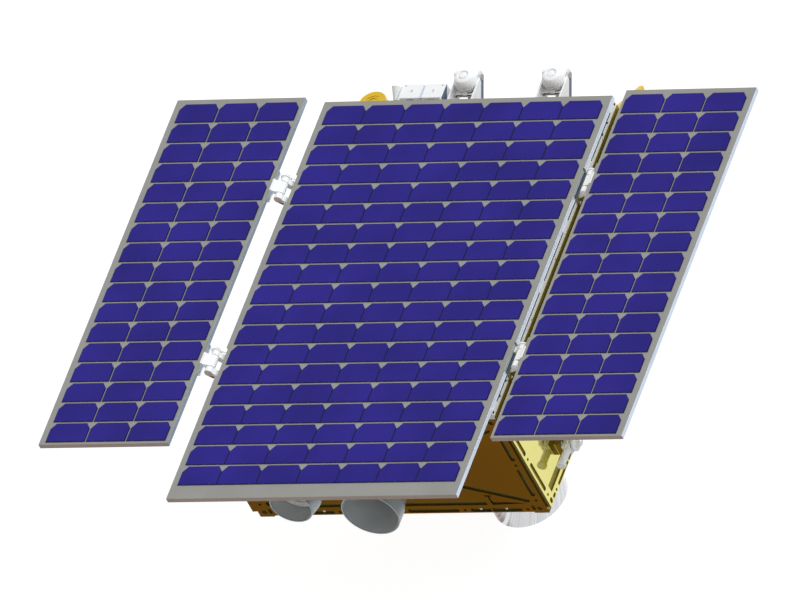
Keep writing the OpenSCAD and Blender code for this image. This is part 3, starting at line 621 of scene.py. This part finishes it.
WING_BACK = wing_low.z
HOLD_Y = END_Y - 98
SEAT_X = PIN_X + (PIN_Z - 128) + 3.6
for side, sign in SIDES.items():
    body = "wing_" + side
    inserts = bmesh.new()
    for x in (312, 350, 400, 450, 495):
        for k in range(8):
            y = wing_low.y + 30 + k * (wing_high.y - wing_low.y - 60) / 7
            ring(inserts, (1.6, 4.2), (0, 0.6), onto("-z", sign * x, y, WING_BACK), 14, edge=0.15)
    for end in ENDS.values():
        ring(inserts, (7, 15), (0, 1.2), onto("-z", sign * SEAT_X, end * HOLD_Y, WING_BACK), 28, 1)
        turned(inserts, [(7, 0.4), (5.4, 0.2), (0, 0.2)], onto("-z", sign * SEAT_X, end * HOLD_Y, WING_BACK), 28, 2)
    done("back_inserts_" + side, inserts, [STEEL, WHITE, DARK_STEEL], body)
    strips = bmesh.new()
    for k in range(3):
        y = wing_low.y + 110 + k * 240
        block(strips, (sign * 330 - 20, y - 6, WING_BACK - 1.4), (sign * 330 + 20, y + 6, WING_BACK), 0.3)
        for x in range(-15, 16, 6):
            turned(strips, [(0, 1), (1.2, 0.9), (1.7, 0)], onto("-z", sign * 330 + x, y, WING_BACK - 1.4), 8, 1)
    done("terminal_strips_" + side, strips, [TAPE, STEEL], body)
    route = [(sign * 306, HINGE_Y["lower"] - 40, WING_BACK - 1.2), (sign * 318, HINGE_Y["lower"] - 20, WING_BACK - 1.2),
             (sign * 322, -100, WING_BACK - 1.2), (sign * 322, 40, WING_BACK - 1.2),
             (sign * 318, HINGE_Y["upper"] - 60, WING_BACK - 1.2), (sign * 322, HINGE_Y["upper"] + 60, WING_BACK - 1.2),
             (sign * 322, wing_high.y - 40, WING_BACK - 1.2)]
    harness("wing_harness_" + side, route, body, 3, 1.1)
    for k in range(3):
        y = wing_low.y + 110 + k * 240
        harness("cell_leads_%s_%d" % (side, k),
                [(sign * 350, y, WING_BACK - 0.9), (sign * 400, y + 4, WING_BACK - 0.9), (sign * 450, y - 3, WING_BACK - 0.9),
                 (sign * 500, y, WING_BACK - 0.9)], body, 2, 0.8, 3, (0, 1, 0))

under = bmesh.new()
for x in (-210, -140, -70, 0, 70, 140, 210):
    for y in (-345, -390, -435, -475):
        ring(under, (1.6, 4.2), (0, 0.6), onto("-z", x, y, panel_low.z), 14, edge=0.15)
for x in (-175, 0, 175):
    block(under, (x - 24, -372, panel_low.z - 1.6), (x + 24, -360, panel_low.z), 0.3, finish=1)
    for k in range(-18, 19, 6):
        turned(under, [(0, 1), (1.2, 0.9), (1.7, 0)], onto("-z", x + k, -366, panel_low.z - 1.6), 8)
done("overhang_inserts", under, [STEEL, TAPE], "bus")
harness("overhang_harness", [(-175, -374, panel_low.z - 1.3), (-150, -380, panel_low.z - 1.3), (-60, -380, panel_low.z - 1.3),
                             (0, -374, panel_low.z - 1.3), (60, -380, panel_low.z - 1.3), (150, -380, panel_low.z - 1.3),
                             (175, -374, panel_low.z - 1.3)], "bus", 3, 1.1, 4, (0, 1, 0))
for x in (-60, 60):
    harness("deck_harness_" + ("left" if x < 0 else "right"),
            [(x, 270, panel_low.z - 1.3), (x, 286, panel_low.z - 1.6), (x, 296, panel_low.z - 6), (x + 4, 298, BOX_Z1 + 6),
             (x + 4, 288, BOX_Z1 + 1.6), (x + 4, 262, BOX_Z1 + 1.3)], "bus", 4, 1.2, 5)


# ---------------------------------------------------------------- rails and hinges

for side, sign in SIDES.items():
    # Slate film on the rail's top: painted shade.
    film = bmesh.new()
    x0, x1 = sorted((sign * (BOX_X - 19.6), sign * (BOX_X - 0.1)))
    block(film, (x0, -END_Y + 1, rail_high.z - 4), (x1, END_Y - 1, rail_high.z - 3.6), 0.1)
    done("rail_painted_shade_film_" + side, film, [SLATE_SHADE], "bus")
    # Olive strip along the rail's outer foot: painted shadow of the wing on the side plate's top edge.
    strip = bmesh.new()
    x0, x1 = sorted((sign * (BOX_X - 0.2), sign * (BOX_X + 0.5)))
    for y0, y1 in runs(-END_Y, END_Y, hinge_rows):
        block(strip, (x0, y0, BOX_Z1 - 1.5), (x1, y1, BOX_Z1 + 5), 0.15)
    done("rail_painted_shadow_strip_" + side, strip, [OLIVE_SHADE], "bus")
    # Black heads on the white rail: painted shade of its holes.
    heads = [onto(outward(sign), sign * (BOX_X + 0.3), y, BOX_Z1 + 12.4) for y in (312, 274, 250, -250, -281, -314)]
    screws("rail_screws_" + side, heads, "bus", BLACK, 1.9, 1)

for side, sign in SIDES.items():
    for end, y in HINGE_Y.items():
        name = side + "_" + end
        place = (MIRROR_X if sign < 0 else UPRIGHT) @ at(0, y, 0)
        fixed = bmesh.new()
        for dy in (-25.3, 25.3):
            cap_screw(fixed, place @ onto("+x", BOX_X + 3, dy, BOX_Z1 + 6), 2.2, 1.5)
        # On the left the pin-head disc is grey-brown and the thin plate over the gusset's end face umber; on the right
        # the disc is white and the plate olive. The darker colours are painted shade.
        pin_face = place @ onto("-y", PIN_X, -21.5, PIN_Z)
        turned(fixed, [(0, 1.6), (2.2, 1.6), (2.6, 1.2), (2.6, 0.7), (6.5, 0.7), (6.9, 0.3), (6.9, 0)], pin_face, 28, 1)
        plate(fixed, [(BOX_X + 1.5, BOX_Z1 + 0.3), (PIN_X + 3, PIN_Z - 6.4), (PIN_X - 3, PIN_Z - 6.5),
                      (BOX_X + 1.5, BOX_Z1 + 9.5)], 0.5, 0.1,
              place @ at(0, -21.5, 0) @ turn(90, "X"), 2)
        turned(fixed, [(0, 3.4), (1.9, 3.4), (2.4, 3), (2.4, 0.8), (4, 0.8), (4, 0)],
               place @ onto("+y", PIN_X, 23, PIN_Z), 18, 0)
        coil = []
        for k in range(4 * 14 + 1):
            angle = 2 * math.pi * k / 14
            coil.append((PIN_X + 3.7 * math.cos(angle), 24.2 + 3.6 * k / 56, PIN_Z + 3.7 * math.sin(angle)))
        coil += [(PIN_X - 1, 28.1, PIN_Z - 4.2), (PIN_X - 6, 28.1, PIN_Z - 8), (BOX_X + 3.8, 28.1, BOX_Z1 + 10)]
        tube(fixed, [place @ Vector(p) for p in coil], 0.65, 6, 0)
        for dy in (-11.75, 11.35):
            ring(fixed, (6.4, 7.15), (0, 0.4), place @ onto("+y", PIN_X, dy, PIN_Z), 28, 3, 0.05)
        done("hinge_fixings_" + name, fixed, [STEEL, GREY_BROWN_SHADE if sign < 0 else WHITE, UMBER_SHADE if sign < 0 else OLIVE_SHADE,
                                              DARK_STEEL], "bus")
        moving = bmesh.new()
        wing_x0 = wing_low.x
        for dy in (-23, -8, 8, 23):
            cap_screw(moving, place @ onto("-z", wing_x0 + 13, dy, WING_BACK - 3), 2.4, 1.5)
        # The leaf's web takes the darker inner trim: painted shade.
        for dy0, dy1 in ((-LEAF_HALF + 0.3, -11.4), (11.4, LEAF_HALF - 0.3)):
            block(moving, (wing_x0 - 3.4, dy0, WING_BACK + 0.2), (wing_x0 - 3, dy1, wing_high.z - 1.3), 0.1, place, 1)
            block(moving, (wing_x0 - 3.2, dy0, wing_high.z - 1.1), (wing_x0, dy1, wing_high.z - 0.7), 0.1, place, 2)
        done("hinge_leaf_fixings_" + name, moving, [STEEL, EDGE_INNER_SHADE, SHEET], "wing_" + side)


# ---------------------------------------------------------------- hold-downs

HOLD_Z = 128
for side, sign in SIDES.items():
    for end, way in ENDS.items():
        place = flip(sign, way) @ at(SIDE_X, HOLD_Y, HOLD_Z)
        name = side + "_" + end
        piece = bmesh.new()
        for y, z in ((-11.5, -6.5), (-11.5, 11.5), (12, 12.2)):
            cap_screw(piece, place @ onto("+x", 10, y, z), 2.1, 1.8)
        turned(piece, [(0, 1.2), (3.2, 1.2), (4.4, 0)], place @ onto("+x", 36, 0, 0), 20)
        ring(piece, (9.2, 10.2), (11.4, 14.6), place @ onto("+x", 10, 0, 0), 28, 1, 0.2)
        for y in (18.2, 42.6):
            ring(piece, (5.8, 6.5), (0, 1.2), place @ onto("+y", 17, y, 0), 28, 3, 0.2)
        turned(piece, [(0, 1.4), (4.4, 1.4), (5.2, 0.8), (5.2, 0)], place @ onto("+y", 17, 49, 0), 24, 3)
        block(piece, (22.9, 10.6, -3), (23.9, 15.4, 3), 0.3, place, 3)
        for y in (-1.5, 14.5):
            for z in (-6.3, 6.3):
                cap_screw(piece, place @ onto("+z" if z > 0 else "-z", 17, y, math.copysign(9, z)), 1.7, 1.2, 3)
        done("hold_down_fixings_" + name, piece, [STEEL, DARK_STEEL, BLACK, WHITE], "bus")


# ---------------------------------------------------------------- end plates and side plates

for end, way in ENDS.items():
    bright, dark = [], []
    floor_y = way * (END_Y - 3)
    for x in (-183.7, -138.5, 138.5, 183.7):
        for z in (BOX_Z0 + 7.6, BOX_Z1 - 7.6):
            bright.append(onto(endward(way), x, floor_y, z))
    for k in range(-2, 3):
        for z in (BOX_Z0 + 6.3, BOX_Z1 - 6.3):
            dark.append(onto(endward(way), k * 110.5, floor_y, z))
    for x in (-BOX_X + 11, BOX_X - 11):
        for dz in (-83.5, 0, 83.5):
            dark.append(onto(endward(way), x, floor_y, MID_Z + dz))
    screws("end_slot_screws_" + end, bright, "bus", STEEL, 2.3, 2.2)
    # Hole screws and corner bolts in dark olive: painted shade in the holes.
    screws("end_hole_screws_" + end, dark, "bus", DARK_OLIVE_SHADE, 2.1, 1.6)
    corners = [onto(endward(way), x * (BOX_X - 12), floor_y, MID_Z + z * 101.5) for x in (-1, 1) for z in (-1, 1)]
    screws("end_corner_bolts_" + end, corners, "bus", DARK_OLIVE_SHADE, 3.8, 1.8, 16)
    screws("end_face_screw_" + end, [onto(endward(way), 30, way * END_Y, BOX_Z0 + 38)], "bus", STEEL, 2, 1.4)

for side, sign in SIDES.items():
    middle = (side_low.z + side_high.z) / 2
    heads = [onto(outward(sign), sign * (SIDE_X - 2.5), y, middle + z) for y in (-309, 309) for z in (-83.5, 0, 83.5)]
    heads += [onto(outward(sign), sign * (SIDE_X - 2.5), k * 57, middle + z) for k in (-5, -3, -1, 1, 3, 5)
              for z in (-100, 100)]
    # Dark olive heads in the side plate's pockets: painted shade.
    screws("side_screws_" + side, heads, "bus", DARK_OLIVE_SHADE, 2.0, 1.5)

filler = bmesh.new()
block(filler, (-BOX_X - 6.4, -END_Y + 0.1, side_low.z + 0.2), (-BOX_X - 0.1, -END_Y + 4, side_high.z - 0.2), 0.1)
done("groove_filler", filler, [GOLD_END_SHADED], "bus")
tab = bmesh.new()
block(tab, (BOX_X, -END_Y, BOX_Z0 + 6.6), (BOX_X + 4.5, -END_Y + 7, BOX_Z0 + 9.6), 0.3)
done("corner_tab", tab, [PALE_TAB], "bus")


# ---------------------------------------------------------------- imagers

IMAGER_Z = 192
IMAGERS = {
    "large": {"x": 23, "wall": [(14.6, 36.9), (29.1, 36.9), (72.75, 45.5), (95.5, 45.5)], "rim": 47.6, "long": 97,
              "bolts": 43, "glass": (29.2, 9.2, 13), "barrel": 36.9, "face": 14},
    "small": {"x": -123, "wall": [(49.6, 38.9), (56, 38.9), (79.5, 33.1)], "rim": 34.9, "long": 81, "bolts": 43.1,
              "glass": (31, 44.2, 48), "barrel": 38.9, "face": 49},
}
for name, imager in IMAGERS.items():
    base = at(imager["x"], -END_Y, IMAGER_Z) @ FACING["-y"]
    wall = imager["wall"]

    # Pale lining in the bore: painted light in the baffle's shaded inside.
    lining = bmesh.new()
    outline = [(r - 0.1, h) for h, r in wall] + [(r - 0.7, h) for h, r in reversed(wall)]
    turned(lining, outline + outline[:1], base, 64)
    done("baffle_lit_lining_" + name, lining, [BAFFLE_IN_LIT], "bus")
    rim = bmesh.new()
    ring(rim, (imager["rim"] - 1.9, imager["rim"] + 0.15), (imager["long"] - 1, imager["long"] + 0.25), base, 64, 0, 0.15)
    for k in range(12):
        hex_bolt(rim, base @ turn(k * 30 + 15, "Z") @ at(imager["bolts"], 0, 5), 1.5 if name == "small" else 2.1, 2)
    done("baffle_rim_and_bolts_" + name, rim, [BAFFLE_RIM], "bus")
    radius, low_at, high_at = imager["glass"]
    glass = bmesh.new()
    dome = [(radius * t / 10, high_at - (high_at - low_at) * (t / 10) ** 2) for t in range(11)]
    turned(glass, dome + [(radius, low_at - 0.4)], base, 48)
    # The small imager's glass is near-white paint: painted light.
    done("front_glass_" + name, glass, [GLASS if name == "large" else GLASS_PAINTED_LIGHT], "bus", 60)
    cell = bmesh.new()
    ring(cell, (radius * 0.93, radius + 1.2), (high_at - 1.2, imager["face"] - 0.2), base, 48, 0, 0.3)
    ring(cell, (imager["barrel"] - 3.4, imager["barrel"] - 0.6), (imager["face"] - 0.2, imager["face"] + 0.5), base, 48, 1, 0.2)
    for k in range(6):
        cap_screw(cell, base @ turn(k * 60, "Z") @ at(imager["barrel"] - 5.2, 0, imager["face"]), 1.0, 0.7, 1)
    done("lens_cell_" + name, cell, [DARK_STEEL if name == "large" else WHITE, STEEL], "bus")


# ---------------------------------------------------------------- dome heads and their yokes

HEAD_Y, HEAD_Z = END_Y + 67, BOX_Z1 - 7
for name in SIDES:
    low, high = span("dome_head_" + name)
    x = (low.x + high.x) / 2
    top = at(x, HEAD_Y, HEAD_Z)
    cap = bmesh.new()
    crown = [(14.1, 12.65), (14.3, 12.6), (13.2, 13.1), (11.6, 13.75), (10, 14.2), (9.1, 14.35), (8.7, 14.1), (8.6, 12.65)]
    turned(cap, crown + crown[:1], top, 64)
    turned(cap, [(0, 14.7), (4, 14.65), (5.6, 14.45), (6.1, 14.1), (6.1, 12.65)], top, 48)
    seam = [(18.85, -2.4), (19.3, -2.1), (19.35, -1.7), (18.95, -1.4)]
    turned(cap, seam + seam[:1], top, 64)
    turned(cap, [(13.4, -13), (15.2, -12.9), (15.2, -11.6), (14.6, -11.3)], top, 48, 1)
    done("dome_cap_" + name, cap, [WHITE, DARK_STEEL], "bus", 50)
    base = bmesh.new()
    block(base, (x - 19.3, END_Y + 46.5, HEAD_Z - 16), (x + 19.3, END_Y + 52.4, HEAD_Z - 12.2), 0.3)
    block(base, (x - 17, END_Y + 45.8, HEAD_Z - 12.6), (x + 14, END_Y + 47.6, HEAD_Z - 11.2), 0.2, finish=1)
    for s in (-1, 1):
        cap_screw(base, onto("-y", x + s * 17, END_Y + 46.5, HEAD_Z - 14.2), 1.3, 0.8, 2)
        for dy in (55, 68):
            cap_screw(base, onto("-z", x + s * 15, END_Y + dy, HEAD_Z - 16), 1.8, 1.4, 2)
    block(base, (x - 4, END_Y + 46, HEAD_Z - 12.2), (x + 3, END_Y + 51, HEAD_Z - 8.6), 0.4)
    done("head_base_" + name, base, [WHITE, BLACK, DARK_STEEL], "bus")
    # A slate strip along each yoke arm's outer face is painted shade; the grey disc is the ear.
    arm_shade_strip = bmesh.new()
    y0, z0, y1, z1 = END_Y, HEAD_Z - 72, END_Y + 85, HEAD_Z - 4
    long = math.hypot(y1 - y0, z1 - z0)
    along = at(x + 22.5, y0, z0) @ turn(math.degrees(math.atan2(z1 - z0, y1 - y0)), "X")
    block(arm_shade_strip, (0, 2, 0.3), (1.1, long - 3, 6.6), 0.3, along)
    turned(arm_shade_strip, [(0, 1.6), (4.6, 1.6), (5.4, 1), (5.4, 0)], onto("+x", x + 22.5, END_Y + 77.5, HEAD_Z - 3.5), 28, 1)
    done("arm_shade_strip_and_ear_" + name, arm_shade_strip, [SLATE_SHADE, EAR_GREY], "bus")
    for s in (-1, 1):
        feet = bmesh.new()
        inner = x + s * 22.5
        x0, x1 = sorted((inner, inner + s * 8))
        block(feet, (x0, END_Y, HEAD_Z - 62), (x1, END_Y + 2.5, HEAD_Z - 8), 0.4)
        for dz in (-55, -35, -15):
            cap_screw(feet, onto("+y", inner + s * 4.4, END_Y + 2.5, HEAD_Z + dz), 2, 1.6, 1)
        done("yoke_foot_%s_%s" % (name, "left" if s < 0 else "right"), feet, [WHITE, STEEL], "bus")
    harness("head_leads_" + name,
            [(x + 4, END_Y + 58, HEAD_Z - 17.2), (x + 4, END_Y + 48, HEAD_Z - 20), (x + 6, END_Y + 30, HEAD_Z - 40),
             (x + 8, END_Y + 8, HEAD_Z - 62), (x + 8, END_Y + 2.4, HEAD_Z - 84), (x + 8, END_Y + 2.4, HEAD_Z - 112)],
            "bus", 3, 1.0, 5)
    plug = bmesh.new()
    connector(plug, at(x + 8, END_Y, HEAD_Z - 120) @ FACING["+y"], 34, 9, 12)
    done("head_connector_" + name, plug, [STEEL, BLACK], "bus")


# ---------------------------------------------------------------- twin receiver, drum and corner bracket

box_low, box_high = span("receiver_boxes")
middle = (box_low.x + box_high.x) / 2
near, top_z = box_low.y, box_high.z
receiver = bmesh.new()
for s in (-1, 1):
    x = middle + s * 19
    block(receiver, (x - 14.5, near - 0.6, top_z - 3.2), (x + 14.5, near, top_z - 0.5), 0.15)
    block(receiver, (x - 5.5, near - 0.7, top_z - 6.4), (x + 5.5, near, top_z - 3.8), 0.2, finish=2 if s < 0 else 1)
    ring(receiver, (2.3, 3.6), (0, 0.4), at(x, (near + box_high.y) / 2, top_z), 20, 0, 0.1)
    cap_screw(receiver, at(x + s * 13.5, box_high.y - 3, top_z), 1.3, 0.5, 1)
# Pale blue block in the gap between the boxes: painted shade.
block(receiver, (middle - 2.4, near, box_low.z), (middle + 2.4, box_high.y - 1, top_z - 1.4), 0.2, finish=3)
# Slate film on the gusset's outer face: painted shade.
plate(receiver, [(END_Y + 0.5, top_z - 44.8), (box_high.y - 1, top_z - 0.4), (near + 0.5, top_z - 0.4),
                 (END_Y + 0.5, box_low.z - 3)], 0.6, 0.1,
      Matrix(((0, 0, 1, middle + 38.5), (1, 0, 0, 0), (0, 1, 0, 0), (0, 0, 0, 1))), 4)
done("receiver_details", receiver, [WHITE, EAR_GREY, BLACK, PALE_BLUE_SHADE, SLATE_SHADE], "bus")
harness("receiver_leads", [(middle, box_high.y - 8, top_z - 16.2), (middle, box_high.y - 10, top_z - 18), (middle, box_high.y - 16, top_z - 26),
                           (middle, END_Y + 22, top_z - 44), (middle, END_Y + 3, top_z - 66), (middle, END_Y + 2.4, top_z - 110)],
        "bus", 4, 1.0, 5)
plug = bmesh.new()
connector(plug, at(middle, END_Y, top_z - 118) @ FACING["+y"], 38, 9, 12)
done("receiver_connector", plug, [STEEL, BLACK], "bus")

drum_low, drum_high = span("gold_drum")
drum = at((drum_low.x + drum_high.x) / 2, drum_high.y - 24.5, 0)
rings = bmesh.new()
turned(rings, [(16.4, drum_high.z - 6), (16.4, drum_high.z - 1), (15.6, drum_high.z - 0.6), (12.4, drum_high.z - 0.6),
               (12.2, drum_high.z - 1.8), (8, drum_high.z - 1.8), (7.8, drum_high.z - 0.8), (0, drum_high.z - 0.8)], drum, 56)
# Ring edges in bright gold: painted highlight.
ring(rings, (11.9, 12.5), (drum_high.z - 2, drum_high.z - 0.3), drum, 48, 1, 0.15)
ring(rings, (16.2, 16.8), (drum_high.z - 2, drum_high.z + 0.2), drum, 56, 1, 0.15)
for z in (drum_high.z - 0.1, drum_high.z - 8.9, drum_high.z - 11.6, drum_high.z - 19.4):
    ring(rings, (23.7, 24.75), (z - 0.5, z + 0.3), drum, 56, 1, 0.15)
done("drum_rings", rings, [GOLD_LIGHT, GOLD_HIGHLIGHT], "bus")
heads = [onto("+y", BOX_X - x, END_Y + 4, BOX_Z1 - z) for x in (12, 19) for z in (14, 44, 74, 100)]
screws("bracket_screws", heads, "bus", STEEL, 2.1, 1.8)


# ---------------------------------------------------------------- back deck, canister and launch ring

can_low, can_high = span("back_canister")
can_x, can_y = (can_low.x + can_high.x) / 2, (can_low.y + can_high.y) / 2
can_r = (can_high.x - can_low.x) / 2
can = bmesh.new()
ring(can, (can_r - 0.4, can_r + 5.5), (BOX_Z0 - 3, BOX_Z0), at(can_x, can_y, 0), 64, 0, 0.5)
for k in range(12):
    hex_bolt(can, at(can_x, can_y, BOX_Z0 - 3) @ turn(30 * k + 10, "Z") @ at(can_r + 2.9, 0, 0) @ FACING["-z"], 1.6, 1.8, 1)
ring(can, (24, 30), (0, 2), onto("-z", can_x, can_y, can_low.z + 4), 40, 0, 0.4)
turned(can, [(0, 3.2), (9, 3.2), (10, 2.4), (10, 0)], onto("-z", can_x, can_y, can_low.z + 4), 32, 1)
for k in range(6):
    cap_screw(can, onto("-z", can_x, can_y, can_low.z + 4) @ turn(60 * k, "Z") @ at(40, 0, 0), 2.2, 1.8, 1)
done("canister_fittings", can, [CANISTER, STEEL], "bus")

ring_fit = bmesh.new()
for k in range(24):
    hex_bolt(ring_fit, turn(15 * k + 7.5, "Z") @ at(151, 0, ring_height - 8) @ FACING["-z"], 3.1, 3.2)
for k in range(12):
    plate(ring_fit, [(139.6, 8), (158, 8), (144, 34), (139.6, 34)], 2.4, 0.3,
          turn(30 * k + 15, "Z") @ Matrix(((1, 0, 0, 0), (0, 0, -1, 1.2), (0, 1, 0, 0), (0, 0, 0, 1))), 1)
done("ring_bolts_and_gussets", ring_fit, [STEEL, RING_METAL], "bus")
for name, angle in (("left", 150), ("right", 0)):
    box = bmesh.new()
    place = turn(angle, "Z")
    block(box, (139, -17, 40), (151, 17, 64), 1, place, 0)
    for y in (-9, 9):
        turned(box, [(0, 9), (5.4, 9), (6.2, 8.2), (6.2, 0)], place @ at(145, y, 40) @ FACING["-z"], 24, 1)
        ring(box, (6, 7.4), (1, 3.2), place @ at(145, y, 40) @ FACING["-z"], 24, 0, 0.3)
    for y in (-13.5, 13.5):
        for z in (44, 60):
            cap_screw(box, place @ at(151, y, z) @ FACING["+x"], 1.8, 1.6, 0)
    done("separation_connector_" + name, box, [STEEL, BLACK], "bus")

edge_heads = []
for k in range(11):
    for s in (-1, 1):
        edge_heads.append(onto("-z", -235 + 47 * k, s * (END_Y - 21), BOX_Z0))
for k in range(12):
    for s in (-1, 1):
        edge_heads.append(onto("-z", s * (BOX_X - 8), -270 + 49.1 * k, BOX_Z0))
screws("back_deck_screws", edge_heads, "bus", STEEL, 2.5, 2.0)

tiles = bmesh.new()
block(tiles, (-240, -290, BOX_Z0 - 1.2), (-146, -196, BOX_Z0), 0.3, finish=1)
for i in range(4):
    for j in range(4):
        block(tiles, (-238 + 23 * i, -288 + 23 * j, BOX_Z0 - 1.9), (-216.4 + 23 * i, -266.4 + 23 * j, BOX_Z0 - 1.2), 0.15)
done("mirror_radiator", tiles, [MIRROR_TILE, WHITE], "bus")

plugs = bmesh.new()
block(plugs, (-226, 206, BOX_Z0 - 2.2), (-150, 262, BOX_Z0), 0.5, finish=0)
for x, r in ((-208, 13), (-170, 13), (-189, 8)):
    y = 234 if r > 10 else 218
    turned(plugs, [(0, 6), (r - 3, 6), (r - 3, 13), (r - 1, 13), (r, 12), (r, 0)], onto("-z", x, y, BOX_Z0 - 2.2), 36, 1)
    ring(plugs, (r - 0.4, r + 2.4), (0, 2.6), onto("-z", x, y, BOX_Z0 - 2.2), 36, 0, 0.4)
for x in (-221, -189, -155):
    for y in (211, 257):
        cap_screw(plugs, onto("-z", x, y, BOX_Z0 - 2.2), 2.1, 1.8)
done("umbilical_sockets", plugs, [STEEL, BLACK], "bus")

cover = bmesh.new()
block(cover, (146, 190, BOX_Z0 - 3.2), (232, 262, BOX_Z0), 1, finish=0, segments=2)
block(cover, (156, 200, BOX_Z0 - 4.4), (222, 252, BOX_Z0 - 3), 1, finish=0, segments=2)
for x in (151, 189, 227):
    for y in (195, 257):
        cap_screw(cover, onto("-z", x, y, BOX_Z0 - 3.2), 2.3, 1.9, 1)
done("back_cover", cover, [GOLD_PART, STEEL], "bus")
harness("back_harness_left", [(-200, 205, BOX_Z0 - 1.5), (-204, 180, BOX_Z0 - 1.5), (-206, 60, BOX_Z0 - 1.5), (-206, -60, BOX_Z0 - 1.5),
                              (-202, -170, BOX_Z0 - 1.5), (-196, -195, BOX_Z0 - 1.5)], "bus", 4, 1.3, 4)
harness("back_harness_right", [(196, 189, BOX_Z0 - 1.5), (202, 160, BOX_Z0 - 1.5), (206, 40, BOX_Z0 - 1.5), (206, -80, BOX_Z0 - 1.5),
                               (200, -150, BOX_Z0 - 1.5), (192, -168, BOX_Z0 - 1.5)], "bus", 4, 1.3, 4)


# ---------------------------------------------------------------- camera, floor and light

RIGHT = Vector((0.8763, 0.30155, -0.37572)).normalized()
BACK = Vector((0.48149, -0.57455, 0.66187)).normalized()
UP = BACK.cross(RIGHT).normalized()
AIM = Vector((0.01237, -0.08258, 0.31223))
LENS = 1280
FRAME_WIDTH = 1.23785
camera = bpy.data.objects.new("camera", bpy.data.cameras.new("camera"))
camera.data.lens = LENS
camera.data.sensor_width = 36
camera.data.clip_start = 1
camera.data.clip_end = 100
turned_to = Matrix((RIGHT, UP, BACK)).transposed().to_4x4()
camera.matrix_world = Matrix.Translation(AIM + BACK * FRAME_WIDTH * LENS / 36) @ turned_to
bpy.context.scene.collection.objects.link(camera)
bpy.context.scene.camera = camera
bpy.context.scene.view_settings.view_transform = "Standard"


def seen(nodes, links):
    """1 for what the camera, a mirror or glass sees, 0 for light that is scattered."""
    path = nodes.new("ShaderNodeLightPath")
    total = path.outputs["Is Camera Ray"]
    for other in ("Is Glossy Ray", "Is Transmission Ray"):
        most = nodes.new("ShaderNodeMath")
        most.operation = "MAXIMUM"
        links.new(total, most.inputs[0])
        links.new(path.outputs[other], most.inputs[1])
        total = most.outputs[0]
    return total


def make_floor():
    part = bmesh.new()
    bmesh.ops.create_grid(part, x_segments=1, y_segments=1, size=40)
    mesh = bpy.data.meshes.new("floor")
    part.to_mesh(mesh)
    part.free()
    floor = bpy.data.objects.new("floor", mesh)
    bpy.context.scene.collection.objects.link(floor)
    material = bpy.data.materials.new("pale_floor")
    material.use_nodes = True
    nodes, links = material.node_tree.nodes, material.node_tree.links
    nodes.clear()
    glow = nodes.new("ShaderNodeEmission")
    glow.inputs["Strength"].default_value = 0.925
    shade = nodes.new("ShaderNodeBsdfDiffuse")
    shade.inputs["Color"].default_value = (0.22, 0.22, 0.22, 1)
    both = nodes.new("ShaderNodeAddShader")
    plain = nodes.new("ShaderNodeBsdfDiffuse")
    plain.inputs["Color"].default_value = (0.45, 0.45, 0.45, 1)
    pick = nodes.new("ShaderNodeMixShader")
    out = nodes.new("ShaderNodeOutputMaterial")
    links.new(glow.outputs[0], both.inputs[0])
    links.new(shade.outputs[0], both.inputs[1])
    links.new(seen(nodes, links), pick.inputs[0])
    links.new(plain.outputs[0], pick.inputs[1])
    links.new(both.outputs[0], pick.inputs[2])
    links.new(pick.outputs[0], out.inputs[0])
    mesh.materials.append(material)


def make_world():
    """A pale studio: white where it is seen, and for the light cool and bright from the right, warm and dim
    from the front."""
    world = bpy.data.worlds.new("studio")
    bpy.context.scene.world = world
    world.use_nodes = True
    nodes, links = world.node_tree.nodes, world.node_tree.links
    background = nodes["Background"]
    place = nodes.new("ShaderNodeTexCoord")
    dot = nodes.new("ShaderNodeVectorMath")
    dot.operation = "DOT_PRODUCT"
    dot.inputs[1].default_value = Vector((0.62, 0.6, 0.5)).normalized()
    links.new(place.outputs["Generated"], dot.inputs[0])
    share = nodes.new("ShaderNodeMapRange")
    share.inputs["From Min"].default_value = -0.7
    share.inputs["From Max"].default_value = 1
    links.new(dot.outputs["Value"], share.inputs["Value"])
    tint = nodes.new("ShaderNodeMix")
    tint.data_type = "RGBA"
    links.new(share.outputs["Result"], tint.inputs[0])
    tint.inputs[6].default_value = (0.454, 0.373, 0.308, 1)
    tint.inputs[7].default_value = (0.826, 0.891, 0.956, 1)
    pick = nodes.new("ShaderNodeMix")
    pick.data_type = "RGBA"
    links.new(seen(nodes, links), pick.inputs[0])
    links.new(tint.outputs[2], pick.inputs[6])
    pick.inputs[7].default_value = (1, 1, 1, 1)
    links.new(pick.outputs[2], background.inputs["Color"])


def make_sun(name, direction, strength, softness):
    lamp = bpy.data.lights.new(name, "SUN")
    lamp.energy = strength
    lamp.angle = math.radians(softness)
    thing = bpy.data.objects.new(name, lamp)
    thing.rotation_mode = "QUATERNION"
    thing.rotation_quaternion = Vector(direction).to_track_quat("Z", "Y")
    bpy.context.scene.collection.objects.link(thing)


make_floor()
make_world()
make_sun("key_light", (0.62, 0.4, 0.67), 1.215, 30)
